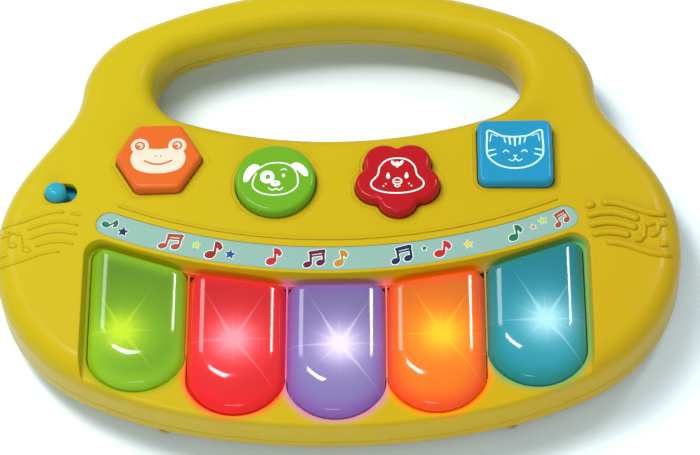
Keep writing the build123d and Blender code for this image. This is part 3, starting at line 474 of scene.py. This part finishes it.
def surface_of(node):
    """Function that gives the height of a CAD node's top at a place, in millimetres."""
    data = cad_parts[node].data
    corners = [tuple(v.co) for v in data.vertices]
    tree = BVHTree.FromPolygons(corners, [tuple(face.vertices) for face in data.polygons])

    def height(x, y):
        for shift in RAY_SHIFTS:
            start = Vector(((x + shift) * MM, (y + shift) * MM, RAY_HEIGHT))
            hit = tree.ray_cast(start, Vector((0, 0, -1)))[0]
            if hit:
                return hit.z / MM
        raise ValueError(f"{node} has no top at {x:.1f}, {y:.1f}")

    return height


def mirrored(points):
    """Closed outline from its right half, listed from the top round to the bottom on the middle line."""
    return points + [(-x, y) for x, y in reversed(points) if x > 0]


# ---------------------------------------------------------------- faces on the buttons
def print_frog(ink, body_ink):
    place = on_button("hexagon")
    face = Print("print_frog", place)
    right = [(0, 3.2), (4.6, 3.6), (9.4, 2.8), (11.2, -1.2), (9.4, -5.8), (5.0, -8.0), (0, -8.5)]
    face.blob(mirrored(right))
    for side in (-1, 1):
        face.blob(ellipse(side * 7.6, 4.7, 3.7), smooth=False)
    face.finish("button_hexagon", ink)
    detail = Print("print_frog_lines", above(place, 6))
    for side in (-1, 1):
        detail.line(ellipse(side * 7.6, 4.9, 1.7), 0.75, closed=True, smooth=False)
        detail.blob(ellipse(side * 7.6 - 0.5, 4.5, 0.75), smooth=False)
        detail.blob(ellipse(side * 1.1, -0.2, 0.3), smooth=False)
    detail.line([(-5.4, -2.4), (-2.6, -3.7), (0, -4.1), (2.6, -3.7), (5.4, -2.4)], 0.75)
    detail.finish("button_hexagon", body_ink)


def print_dog(ink, body_ink):
    place = on_button("circle")
    face = Print("print_dog", place)
    head = [
        (-6.8, 4.4), (-3.2, 6.6), (1.2, 7.2), (5.4, 6.2), (8.2, 3.2), (9.2, -1.0), (8.6, -4.6),
        (5.0, -7.4), (0, -8.2), (-5.0, -7.4), (-8.6, -4.6), (-8.8, -1.0), (-7.6, 2.0),
    ]
    left_ear = [
        (-6.2, 5.2), (-8.4, 6.6), (-11.0, 5.0), (-12.6, 1.4), (-12.6, -1.6), (-10.8, -1.4), (-9.2, 1.4),
    ]
    right_ear = [(6.4, 5.8), (8.4, 7.2), (11.2, 5.8), (13.2, 2.6), (13.0, 0.6), (11.4, 0.9), (9.2, 3.2)]
    face.line(head, 0.6)
    face.blob(left_ear)
    face.blob(right_ear)
    face.blob(ellipse(-3.1, 0.4, 2.9, 3.1), smooth=False)
    face.blob(ellipse(3.4, 1.0, 0.65, 0.9), smooth=False)
    face.blob(ellipse(0.2, -2.7, 2.0, 1.4), smooth=False)
    face.line([(-2.6, -4.8), (-1.0, -5.9), (0.4, -5.2), (1.8, -5.9), (3.2, -4.8)], 0.5)
    face.line([(2.4, 3.6), (3.6, 4.2), (4.6, 3.7)], 0.45)
    face.finish("button_circle", ink)
    detail = Print("print_dog_eye", above(place, 9))
    detail.blob(ellipse(-2.9, 0.5, 0.95, 1.15), smooth=False)
    detail.blob(ellipse(0.2, -2.5, 0.5, 0.35), smooth=False)
    detail.finish("button_circle", body_ink)


def print_chick(ink):
    face = Print("print_chick", on_button("flower"))
    right = [
        (0, 8.4), (4.2, 7.5), (7.0, 4.4), (7.9, 0.4), (10.4, -2.8), (9.8, -5.6), (5.6, -7.6), (0, -8.2),
    ]
    face.line(mirrored(right), 0.65, closed=True)
    for x, y, turn in ((-1.5, 6.0, 125), (0, 5.4, 90), (1.5, 6.0, 55)):
        face.blob(ellipse(x, y, 1.5, 0.7, turn), smooth=False)
    for side in (-1, 1):
        face.blob([(side * 3.7, 1.7), (side * 4.5, -0.4), (side * 3.6, -1.4), (side * 2.9, -0.4)])
        face.blob(ellipse(side * 4.6, -3.8, 0.35), smooth=False)
        face.blob(ellipse(side * 5.6, -4.8, 0.35), smooth=False)
    face.line(ellipse(0, -2.6, 1.75, 1.5), 0.55, closed=True, smooth=False)
    face.line([(-1.1, -4.6), (0, -5.3), (1.1, -4.6)], 0.5)
    face.line([(-1.3, -2.5), (0, -2.9), (1.3, -2.5)], 0.4)
    face.finish("button_flower", ink)


def print_cat(ink):
    face = Print("print_cat", on_button("square"))
    ear = [(10.6, 9.6), (11.2, 5.6), (11.4, 1.0), (10.8, -3.0), (7.8, -6.4), (4.0, -8.2)]
    right = [(3.0, 6.6), (5.4, 7.0), *ear]
    face.line(mirrored([(0, 6.4), *right, (0, -8.7)]), 0.75, closed=True)
    for side in (-1, 1):
        face.line([(side * 7.0, 6.8), (side * 9.4, 7.9), (side * 10.0, 4.4)], 0.45, smooth=False)
        face.line([(side * 2.2, 6.0), (side * 1.9, 2.9)], 0.7, smooth=False)
        face.line([(side * 4.3, 5.9), (side * 3.8, 3.8)], 0.55, smooth=False)
        face.line([(side * 11.0, -0.2), (side * 8.2, 0.4)], 0.6, smooth=False)
        face.line([(side * 10.6, -2.8), (side * 7.8, -1.8)], 0.6, smooth=False)
        face.line([(side * 4.8, -0.9), (side * 3.7, 0.0), (side * 2.6, -0.9)], 0.5)
        face.line([(0, -4.0), (side * 1.2, -5.2), (side * 2.6, -4.5)], 0.5)
    face.line([(0, 6.0), (0, 2.2)], 0.75, smooth=False)
    face.blob([(-1.1, -2.4), (1.1, -2.4), (0, -3.7)], smooth=False)
    face.finish("button_square", ink)


# ---------------------------------------------------------------- motifs on the strip
def star(grow, size=2.3):
    tips = []
    for k in range(10):
        reach = (size if k % 2 == 0 else size * 0.48) + grow
        tips.append((reach * cos(pi / 2 + k * pi / 5), reach * sin(pi / 2 + k * pi / 5)))
    return [("fill", tips)]


def note(grow):
    return [
        ("fill", ellipse(-0.9, -1.9, 1.9 + grow, 1.5 + grow, 20)),
        ("line", [(0.6, -1.6), (0.9, 2.9)], 0.9 + 2 * grow),
        ("line", [(0.9, 2.9), (2.0, 2.4), (2.6, 1.2)], 1.3 + 2 * grow),
        ("line", [(0.9, 1.6), (1.9, 1.2), (2.3, 0.3)], 0.9 + 2 * grow),
    ]


def double_note(grow):
    return [
        ("fill", ellipse(-2.8, -2.3, 1.6 + grow, 1.25 + grow, 20)),
        ("fill", ellipse(2.0, -1.9, 1.6 + grow, 1.25 + grow, 20)),
        ("line", [(-1.5, -2.1), (-1.3, 2.6)], 0.9 + 2 * grow),
        ("line", [(3.3, -1.7), (3.5, 3.0)], 0.9 + 2 * grow),
        ("line", [(-1.3, 2.6), (3.5, 3.0)], 1.5 + 2 * grow),
        ("line", [(-1.3, 1.1), (3.5, 1.5)], 0.7 + 2 * grow),
    ]


def dot(grow):
    return star(grow, 1.1)


INKS = {
    "green": (0.004, 0.13, 0.06), "navy": (0.004, 0.015, 0.06), "copper": (0.30, 0.055, 0.02),
    "lime": (0.36, 0.52, 0.05), "darkred": (0.25, 0.008, 0.012), "blue": (0.004, 0.05, 0.20),
    "red": (0.42, 0.012, 0.012), "maroon": (0.10, 0.003, 0.03), "ochre": (0.40, 0.20, 0.02),
    "yellow": (0.55, 0.48, 0.04),
}
# motif, ink, X in millimetres, shift across the strip, size, turn in degrees
MOTIFS = [
    (note, "green", -91.0, 0.4, 0.9, -30),
    (star, "navy", -85, -1.4, 1.05, 10),
    (double_note, "copper", -66, -0.1, 1.08, 5),
    (star, "lime", -56, 0.8, 0.85, 0),
    (note, "darkred", -49, -0.2, 1.15, 8),
    (star, "blue", -42, -1.0, 1.05, 0),
    (note, "red", -25, 0, 1.1, 10),
    (double_note, "maroon", -8.6, -0.1, 1.08, 6),
    (note, "ochre", 1.6, 0, 1.05, 10),
    (double_note, "navy", 26, -0.1, 1.08, 4),
    (dot, "green", 35.2, 1.6, 1.2, 0),
    (note, "red", 42, 0, 1.12, -12),
    (star, "yellow", 52.5, 0, 0.9, 0),
    (note, "green", 71, 0, 1.05, -8),
    (dot, "ochre", 78.6, 0.4, 1.1, 0),
    (star, "lime", 83, 1.8, 0.85, 0),
    (double_note, "copper", 89.5, 0, 0.9, 8),
]
# width of a motif's white border, lift of the motif over it, and share of the buttons' ink thickness
BORDER, MOTIF_LIFT, STRIP_INK = 0.3, 0.1, 0.6


def print_strip(inks, white):
    height = surface_of("decal_strip")
    for index, (motif, ink, x0, across, size, turn) in enumerate(MOTIFS):
        x_mid, y_mid, slope = arc_point(STRIP_ARC, x0)
        angle = slope + radians(turn)
        c, s = cos(angle), sin(angle)
        x_mid -= across * sin(slope)
        y_mid += across * cos(slope)
        layers = ((BORDER, "halo", white, 0.0), (0.0, "motif", inks[ink], MOTIF_LIFT))
        for grow, name, material, lift in layers:

            def place(x, y, z, c=c, s=s, x_mid=x_mid, y_mid=y_mid, size=size, lift=lift):
                px, py = x_mid + size * (c * x - s * y), y_mid + size * (s * x + c * y)
                return Vector((px, py, height(px, py) + (z * STRIP_INK + lift))) * MM

            layer = Print(f"strip_{name}_{index + 1}", place)
            for kind, points, *width in motif(grow):
                if kind == "fill":
                    layer.blob(points, smooth=False)
                else:
                    layer.line(points, width[0], smooth=len(points) > 2)
            layer.finish("body", material)


# ---------------------------------------------------------------- key caps
PLATEAU_HALF, PLATEAU_FRONT, PLATEAU_ROUND = 11.6, 16.5, 9.0
SIDE_RADIUS, NOSE_RADIUS, SIDE_SLOPE, NOSE_SLOPE = 11.0, 19.0, 0.42, 0.30
# The roll starts at CAP_LOW and is in full from CAP_HIGH up, on faces cut every CAP_STEP.
CAP_LOW, CAP_HIGH, CAP_STEP = 28.5, 33.0, 1.3
CAP_WELD, CUT_TOLERANCE, CAP_SHARP = 0.001, 1e-7, 32


def roll_off(x, y):
    """How far a key's top falls at a place counted from the key's middle and its front edge."""
    qx, qy = abs(x) - (PLATEAU_HALF - PLATEAU_ROUND), PLATEAU_FRONT + PLATEAU_ROUND - y
    outside = sqrt(max(qx, 0) ** 2 + max(qy, 0) ** 2)
    away = min(max(qx, qy), 0.0) + outside - PLATEAU_ROUND
    if away <= 0:
        return 0.0
    ahead = (max(qy, 0) / outside) ** 2
    slope = SIDE_SLOPE + (NOSE_SLOPE - SIDE_SLOPE) * ahead
    radius = SIDE_RADIUS + (NOSE_RADIUS - SIDE_RADIUS) * ahead
    curved = min(away, radius * slope)
    return curved**2 / (2 * radius) + (away - curved) * slope


def make_key_cap(colour, material):
    """Key with the softly rolled sides and nose of a moulded cap, over the same hinge and plunger."""
    node = f"key_{colour}"
    low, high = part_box(node)
    x_mid, y_front = (low.x + high.x) / 2 / MM, low.y / MM + FLANGE_REACH
    mesh = bmesh.new()
    mesh.from_mesh(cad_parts[node].data)
    bmesh.ops.remove_doubles(mesh, verts=mesh.verts, dist=CAP_WELD * MM)
    spans = ((Vector((1, 0, 0)), low.x, high.x), (Vector((0, 1, 0)), low.y, high.y))
    for normal, start, end in spans:
        for k in range(1, int((end - start) / MM / CAP_STEP)):
            cap = [face for face in mesh.faces if max(v.co.z for v in face.verts) > CAP_LOW * MM]
            edges = {edge for face in cap for edge in face.edges}
            verts = {vert for face in cap for vert in face.verts}
            place = normal * (start + k * CAP_STEP * MM)
            geometry = [*verts, *edges, *cap]
            bmesh.ops.bisect_plane(
                mesh, geom=geometry, dist=CUT_TOLERANCE, plane_co=place, plane_no=normal
            )
    for vert in mesh.verts:
        x, y, z = vert.co / MM
        share = min(max((z - CAP_LOW) / (CAP_HIGH - CAP_LOW), 0.0), 1.0)
        vert.co.z -= roll_off(x - x_mid, y - y_front) * share * share * (3 - 2 * share) * MM
    bmesh.ops.recalc_face_normals(mesh, faces=mesh.faces)
    made = add_piece(f"{node}_cap", mesh, node, material, smooth=True)
    made.data.set_sharp_from_angle(angle=radians(CAP_SHARP))
    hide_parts(node)


RIB_HALF, RIB_LOW, RIB_HIGH, RIB_FRONT, RIB_BEHIND, RIB_ROUND = 0.4, 26.0, 29.2, 14.5, 0.5, 0.25


def make_key_ribs(material):
    """Thin walls of the housing between neighbouring keys, which catch the keys' light."""
    looks = list(KEY_LOOKS.values())
    mesh = bmesh.new()
    for left, right in zip(looks, looks[1:]):
        x = (left["box"][0] + right["box"][0]) / 2
        front = max(left["box"][2], right["box"][2]) + RIB_FRONT
        back = arc_point(KEY_ARC, x)[1] + RIB_BEHIND
        rib = bmesh.ops.create_cube(mesh, size=1.0)["verts"]
        size = Matrix.Diagonal((2 * RIB_HALF * MM, (back - front) * MM, (RIB_HIGH - RIB_LOW) * MM, 1.0))
        spot = Matrix.Translation(Vector((x, (front + back) / 2, (RIB_LOW + RIB_HIGH) / 2)) * MM)
        bmesh.ops.transform(mesh, matrix=spot @ size, verts=rib)
    top = [edge for edge in mesh.edges if min(v.co.z for v in edge.verts) > (RIB_HIGH - 0.1) * MM]
    bmesh.ops.bevel(mesh, geom=top, offset=RIB_ROUND * MM, segments=3, profile=0.5, affect="EDGES")
    add_piece("key_ribs", mesh, "body", material)


# ---------------------------------------------------------------- raised music staff on the side panels
TUBE_SIDES, TIP_START = 10, 0.02


def tube(mesh, points, radius):
    """Round bar along points, with round ends that stop in small flat faces."""
    rings = []
    run = [0.0]
    for near, far in zip(points, points[1:]):
        run.append(run[-1] + (far - near).length)
    for index, point in enumerate(points):
        after, before = points[min(index + 1, len(points) - 1)], points[max(index - 1, 0)]
        heading = (after - before).normalized()
        aside = heading.cross(Vector((0, 0, 1))).normalized()
        up = aside.cross(heading)
        from_end = min(run[index], run[-1] - run[index]) + TIP_START * radius
        tip = 1 - min(1.0, from_end / radius)
        size = radius * sqrt(1 - tip * tip)
        turns = [2 * pi * k / TUBE_SIDES for k in range(TUBE_SIDES)]
        rings.append([mesh.verts.new(point + (aside * cos(t) + up * sin(t)) * size) for t in turns])
    for near, far in zip(rings, rings[1:]):
        for k in range(TUBE_SIDES):
            n = (k + 1) % TUBE_SIDES
            mesh.faces.new((near[k], near[n], far[n], far[k]))
    mesh.faces.new(list(reversed(rings[0])))
    mesh.faces.new(rings[-1])


STAFF_LEFT, STAFF_RIGHT, STAFF_TOP, STAFF_PITCH = 99.5, 131.0, -10.0, 4.7
STAFF_WAVE, STAFF_HALF_WAVES, STAFF_FALL, STAFF_STEPS = 2.3, 1.6, 0.03, 36
# number of a line from the top, and where it starts and ends: first the long lines, then the short ones
STAFF_LINES = [
    (0, 106, 131.5), (1, 100, 121), (2, 100.5, 120), (3, 101.5, 117), (4, 107, 132.5),
    (0, 99.5, 103.5), (1, 127, 131.5), (3, 128, 131.5),
]
STAFF_SINK = 0.1
HEADS, HEAD_LENGTH, HEAD_WIDTH, HEAD_TURN = [(120.4, -25.4), (126.2, -23.0)], 1.9, 1.4, 20
STEM_ASIDE, STEM_STEP_X, STEM_STEP_Y, STEM_COUNT, STEM_SHARE = 1.5, 0.12, 0.85, 9, 0.75
BEAM_X, BEAM_Y, BEAM_STEP_X, BEAM_STEP_Y, BEAM_COUNT = 2.6, 6.9, 0.65, 0.27, 10
STAFF_RADIUS = 1.6
# The left staff is fainter, and lies further out and lower.
LEFT_SHARE, LEFT_OUTWARD, LEFT_DOWN = 0.35, 3.5, 0.5


def staff_line(index, start, end):
    """One line of the staff: a slanted wave."""
    for k in range(STAFF_STEPS + 1):
        x = start + (end - start) * k / STAFF_STEPS
        wave = STAFF_WAVE * sin((x - STAFF_LEFT) / (STAFF_RIGHT - STAFF_LEFT) * STAFF_HALF_WAVES * pi)
        yield x, STAFF_TOP - STAFF_PITCH * index + wave - STAFF_FALL * (x - STAFF_LEFT)


def make_staff(side, material, radius, outward, down):
    """Staff of five waves with two beamed notes, raised on one side panel, moved by outward and down."""
    height = surface_of("upper_housing")
    mesh = bmesh.new()

    def on_housing(points):
        places = [(side * (x + outward), y - down) for x, y in points]
        return [Vector((x, y, height(x, y) - STAFF_SINK * radius)) * MM for x, y in places]

    for line in STAFF_LINES:
        tube(mesh, on_housing(list(staff_line(*line))), radius * MM)
    for x, y in HEADS:
        blob = bmesh.ops.create_icosphere(mesh, subdivisions=3, radius=1.0)
        spot = Matrix.Translation(on_housing([(x, y)])[0])
        turn = Matrix.Rotation(side * radians(HEAD_TURN), 4, "Z")
        size = Matrix.Diagonal((HEAD_LENGTH * MM, HEAD_WIDTH * MM, radius * MM, 1.0))
        bmesh.ops.transform(mesh, matrix=spot @ turn @ size, verts=blob["verts"])
        stem = [(x + STEM_ASIDE + STEM_STEP_X * k, y + k * STEM_STEP_Y) for k in range(STEM_COUNT)]
        tube(mesh, on_housing(stem), STEM_SHARE * radius * MM)
    x, y = HEADS[0]
    beam = [(x + BEAM_X + k * BEAM_STEP_X, y + BEAM_Y + k * BEAM_STEP_Y) for k in range(BEAM_COUNT)]
    tube(mesh, on_housing(beam), radius * MM)
    bmesh.ops.recalc_face_normals(mesh, faces=mesh.faces)
    name = "staff_right" if side > 0 else "staff_left"
    add_piece(name, mesh, "body", material, smooth=True)


# ---------------------------------------------------------------- raised collars round the buttons
COLLAR_GAP, COLLAR_RADIUS, COLLAR_SINK, COLLAR_STEPS = 2.3, 0.8, 0.7, 120
CIRCLE_RADIUS = 16.2
PETAL_RADIUS, PETAL_OFFSET, PETAL_SPAN, PETAL_START = 8.2, 9.2, 72, -90
# number of sides, distance of a side from the middle, turn of a corner, and how far it is cut back
SIDES = {"hexagon": (6, 15.46, 0.0, 0.5), "square": (4, 15.15, 45.0, 2.6)}


def button_reach(shape, turn):
    """Distance from a button's middle to its collar, at a turn in degrees."""
    if shape == "circle":
        return CIRCLE_RADIUS + COLLAR_GAP
    if shape == "flower":
        off_petal = radians((turn - PETAL_START + PETAL_SPAN / 2) % PETAL_SPAN - PETAL_SPAN / 2)
        aside, ahead = PETAL_OFFSET * sin(off_petal), PETAL_OFFSET * cos(off_petal)
        return ahead + sqrt((PETAL_RADIUS + COLLAR_GAP) ** 2 - aside**2)
    count, apothem, start, cut = SIDES[shape]
    span = 360 / count
    apothem += COLLAR_GAP
    corner = apothem / cos(radians(span / 2)) - cut
    return min(apothem / cos(radians((turn - start) % span - span / 2)), corner)


def make_collar(shape, material):
    """Faint raised line on the panel that follows a button's outline, with ends that overlap."""
    height = surface_of("upper_housing")
    x_mid, y_mid, _ = middle(f"button_{shape}")
    if shape == "flower":
        y_mid += FLOWER_SHIFT
    points = []
    for k in range(COLLAR_STEPS + 3):
        turn = 360 * k / COLLAR_STEPS
        reach = button_reach(shape, turn)
        x, y = x_mid + reach * cos(radians(turn)), y_mid + reach * sin(radians(turn))
        points.append(Vector((x, y, height(x, y) - COLLAR_SINK * COLLAR_RADIUS)) * MM)
    mesh = bmesh.new()
    tube(mesh, points, COLLAR_RADIUS * MM)
    bmesh.ops.recalc_face_normals(mesh, faces=mesh.faces)
    add_piece(f"collar_{shape}", mesh, "body", material, smooth=True)


# ---------------------------------------------------------------- stage
# The camera's axis passes AIM_Y millimetres behind the toy's middle. Its turn, rise and roll are in
# degrees and its distance in metres, and the shift is a share of the frame's width.
AIM_Y = 2.9
CAMERA_TURN, CAMERA_RISE, CAMERA_ROLL, CAMERA_DISTANCE = 3.267, 58.0, -3.656, 1.2
SENSOR, LENS, SHIFT_X = 36.0, 149.348571, 0.015

WORLD_COLOUR, WORLD_STRENGTH = (0.70, 0.90, 1.0, 1.0), 0.45
FLOOR_SIZE, FLOOR_SCALE = 4.0, 40.0
FLOOR_DARK, FLOOR_LIGHT = (0.78, 0.85, 0.89, 1), (0.80, 0.87, 0.91, 1)
LIGHT_AIM = (0, -0.06, 0)
# name, place, size across and along in metres, watts, direction along, and whether gloss mirrors it
LIGHTS = [
    ("key_light", (-0.75, 0.45, 1.45), (0.6, 0.6), 17.0, (0, 1, 0), False),
    ("overhead", (-0.35, 0.20, 1.20), (0.16, 0.42), 5.0, (0.77, -0.64, 0), True),
    ("right_strip", (0.635, 0.67, 1.0), (0.16, 0.30), 3.0, (0, 1, 0), True),
    ("left_strip", (-0.71, 0.70, 1.0), (0.34, 0.30), 1.8, (0, 1, 0), True),
    ("edge_light", (-0.12, -0.60, 1.05), (0.30, 0.08), 0.7, (0, 1, 0), True),
    ("front_light", (0.1, -1.2, 0.5), (1.2, 0.3), 7.0, (0, 0, 1), False),
]


def make_camera():
    data = bpy.data.cameras.new("camera")
    data.sensor_width = SENSOR
    data.lens = LENS
    data.shift_x = SHIFT_X
    data.clip_start, data.clip_end = 0.05, 20
    turn, rise, roll = radians(CAMERA_TURN), radians(CAMERA_RISE), radians(CAMERA_ROLL)
    back = Vector((sin(turn) * cos(rise), -cos(turn) * cos(rise), sin(rise)))
    right = Vector((cos(turn), sin(turn), 0))
    up = back.cross(right)
    right, up = cos(roll) * right + sin(roll) * up, cos(roll) * up - sin(roll) * right
    camera = bpy.data.objects.new("camera", data)
    spot = Vector((0, AIM_Y * MM, 0)) + back * CAMERA_DISTANCE
    camera.matrix_world = Matrix.Translation(spot) @ Matrix((right, up, back)).transposed().to_4x4()
    bpy.context.scene.collection.objects.link(camera)
    bpy.context.scene.camera = camera


def make_light(name, spot, size, power, along, glossy):
    """Rectangular light that points at the toy; its length lies along the given direction."""
    data = bpy.data.lights.new(name, "AREA")
    data.shape = "RECTANGLE"
    data.size, data.size_y = size
    data.energy = power
    lamp = bpy.data.objects.new(name, data)
    bpy.context.scene.collection.objects.link(lamp)
    back = (Vector(spot) - Vector(LIGHT_AIM)).normalized()
    length = Vector(along) - back * back.dot(Vector(along))
    length.normalize()
    turned = Matrix((length.cross(back), length, back)).transposed().to_4x4()
    lamp.matrix_world = Matrix.Translation(Vector(spot)) @ turned
    lamp.visible_glossy = glossy


def make_stage():
    world = bpy.data.worlds.new("soft_studio")
    world.use_nodes = True
    background = world.node_tree.nodes["Background"]
    background.inputs["Color"].default_value = WORLD_COLOUR
    background.inputs["Strength"].default_value = WORLD_STRENGTH
    bpy.context.scene.world = world
    mesh = bmesh.new()
    bmesh.ops.create_grid(mesh, x_segments=2, y_segments=2, size=FLOOR_SIZE)
    data = bpy.data.meshes.new("floor")
    mesh.to_mesh(data)
    mesh.free()
    floor = bpy.data.objects.new("floor", data)
    bpy.context.scene.collection.objects.link(floor)
    made, tree, shader = new_material("floor_paper")
    base = blend_colour(tree, noise(tree, FLOOR_SCALE), FLOOR_DARK, FLOOR_LIGHT)
    put(tree, base, shader.inputs["Base Color"])
    shader.inputs["Roughness"].default_value = 0.9
    shader.inputs["Specular IOR Level"].default_value = 0.1
    data.materials.append(made)
    for light in LIGHTS:
        make_light(*light)
    bpy.context.scene.view_settings.view_transform = "Standard"
    bpy.context.scene.view_settings.look = "None"


# ---------------------------------------------------------------- finishes
# the second yellow is painted shade, a darker orange
YELLOW, YELLOW_PAINTED_SHADE = (0.46, 0.35, 0.005), (0.47, 0.29, 0.004)
KEY_LOOKS = {
    "green": {"body": (0.10, 0.22, 0.005), "rim": (0.16, 0.31, 0.005), "lamp": (0.52, 0.62, 0.015),
              "halo": (0.26, 0.46, 0.01), "spill": (0.16, 0.24, 0.0), "lamp_shift": (-5.5, -6.0)},
    "red": {"body": (0.48, 0.007, 0.007), "rim": (0.55, 0.002, 0.002), "lamp": (0.75, 0.38, 0.46),
            "halo": (0.72, 0.08, 0.10), "spill": (0.70, 0.03, 0.02), "lamp_shift": (-0.7, 0.0)},
    "violet": {"body": (0.14, 0.11, 0.26), "rim": (0.15, 0.055, 0.24), "lamp": (0.88, 0.80, 0.88),
               "halo": (0.40, 0.31, 0.60), "spill": (0.50, 0.12, 0.34), "lamp_shift": (1.5, 0.0)},
    "orange": {"body": (0.56, 0.11, 0.003), "rim": (0.60, 0.035, 0.002), "lamp": (0.9, 0.56, 0.01),
               "halo": (0.92, 0.30, 0.01), "spill": (0.85, 0.14, 0.0), "lamp_shift": (2.0, 1.5)},
    "teal": {"body": (0.006, 0.17, 0.22), "rim": (0.001, 0.13, 0.11), "lamp": (0.52, 0.74, 0.80),
             "halo": (0.15, 0.50, 0.56), "spill": (0.02, 0.28, 0.10), "lamp_shift": (3.5, -3.4)},
}
BUTTON_LOOKS = {
    "hexagon": (0.60, 0.105, 0.012), "circle": (0.12, 0.31, 0.010),
    "flower": (0.38, 0.004, 0.007), "square": (0.013, 0.22, 0.38),
}
SLIDER_COLOUR = (0.02, 0.27, 0.36)
STRIP_COLOUR = (0.22, 0.36, 0.30)


def paint(node, material):
    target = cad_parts[node]
    for slot in target.material_slots:
        slot.material = material
    if not target.material_slots:
        target.data.materials.append(material)


def place_lamps():
    """Adds to each key's look its lamp's place and its box: middle in X, half width and nose in Y."""
    for name, look in KEY_LOOKS.items():
        low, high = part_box(f"key_{name}")
        x_mid, half = (low.x + high.x) / 2 / MM, (high.x - low.x) / 2 / MM
        shift_x, shift_y = look["lamp_shift"]
        y_low, y_high = low.y / MM + FLANGE_REACH, arc_point(KEY_ARC, x_mid)[1]
        look["box"] = (x_mid, half, y_low)
        look["lamp_place"] = (x_mid + shift_x, (y_low + y_high) / 2 + shift_y)


def finish_outside():
    """Gives the visible CAD nodes their finishes, and returns those that other pieces share."""
    yellow = plastic(
        "yellow_plastic_look", YELLOW, painted_shade_colour=YELLOW_PAINTED_SHADE, edge=1.2, drift=0.04, spill=KEY_LOOKS.values()
    )
    for node in ("upper_housing", "lower_housing", "battery_cover"):
        paint(node, yellow)
    group = make_flare_group()
    for name, look in KEY_LOOKS.items():
        clear = lit_plastic(f"key_{name}_look", look, group)
        paint(f"key_{name}", clear)
        make_key_cap(name, clear)
    buttons = {}
    for shape, colour in BUTTON_LOOKS.items():
        buttons[shape] = plastic(f"button_{shape}_look", colour, roughness=0.2, coat=0.3, edge=0.5)
        paint(f"button_{shape}", buttons[shape])
    paint("slider_knob", plastic("slider_look", SLIDER_COLOUR, roughness=0.18, coat=0.4, edge=0.5))
    film = plastic("film_look", STRIP_COLOUR, roughness=0.4, coat=0.1, edge=0.05, drift=0.03)
    paint("decal_strip", film)
    return yellow, buttons


def finish_inside():
    """Gives the CAD nodes inside the housing and the screws their finishes."""
    board = dull("board_look", (0.02, 0.16, 0.05), 0.35)
    silicone = dull("silicone_look", (0.75, 0.75, 0.72), 0.5)
    black = dull("component_look", (0.02, 0.02, 0.022), 0.35)
    steel = dull("steel_look", (0.62, 0.62, 0.64), 0.25, metallic=1.0, scale=900.0)
    screw = dull("screw_look", (0.42, 0.33, 0.05), 0.5, metallic=0.6, scale=900.0)
    magnet = dull("magnet_look", (0.12, 0.12, 0.125), 0.4, metallic=1.0)
    looks = {
        board: ["main_board", "key_board", "switch_board"],
        silicone: [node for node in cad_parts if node.startswith("dome_")],
        black: [
            "sound_chip", "board_capacitor", "board_resistors", "slide_switch_lever",
            "wire_battery_black", "wire_speaker_black",
        ],
        screw: ["housing_screws"],
        steel: [
            "board_screws", "battery_cover_screw", "battery_springs", "battery_plates",
            "slide_switch_can", "speaker_frame", "speaker_clamps", "speaker_screws",
        ],
        dull("led_look", (0.85, 0.85, 0.8), 0.1): ["key_leds"],
        dull("cell_look", (0.03, 0.12, 0.30), 0.3): [f"battery_cell_{k}" for k in (1, 2, 3)],
        dull("paper_look", (0.05, 0.045, 0.04), 0.8): ["speaker_cone"],
        magnet: ["speaker_magnet"],
        dull("wire_red_look", (0.55, 0.02, 0.02), 0.35): ["wire_battery_red", "wire_speaker_red"],
        dull("wire_grey_look", (0.45, 0.45, 0.47), 0.4): ["key_ribbon", "wires_switch"],
    }
    for material, nodes in looks.items():
        for node in nodes:
            paint(node, material)


def ink_look(name, colour, drift):
    return dull(name, colour, 0.4, scale=1500.0, drift=drift)


def main():
    place_lamps()
    yellow, buttons = finish_outside()
    finish_inside()
    white = ink_look("print_white_look", (0.86, 0.85, 0.80), 0.03)
    cyan = ink_look("print_cyan_look", (0.55, 0.80, 0.90), 0.03)
    cream = ink_look("print_cream_look", (0.64, 0.54, 0.42), 0.04)
    print_frog(cream, buttons["hexagon"])
    print_dog(white, buttons["circle"])
    print_chick(white)
    print_cat(cyan)
    inks = {name: ink_look(f"ink_{name}_look", colour, 0.06) for name, colour in INKS.items()}
    print_strip(inks, white)
    make_key_ribs(yellow)
    for shape in BUTTON_LOOKS:
        make_collar(shape, yellow)
    make_staff(1, yellow, STAFF_RADIUS, 0, 0)
    make_staff(-1, yellow, STAFF_RADIUS * LEFT_SHARE, LEFT_OUTWARD, LEFT_DOWN)
    make_stage()
    make_camera()


main()
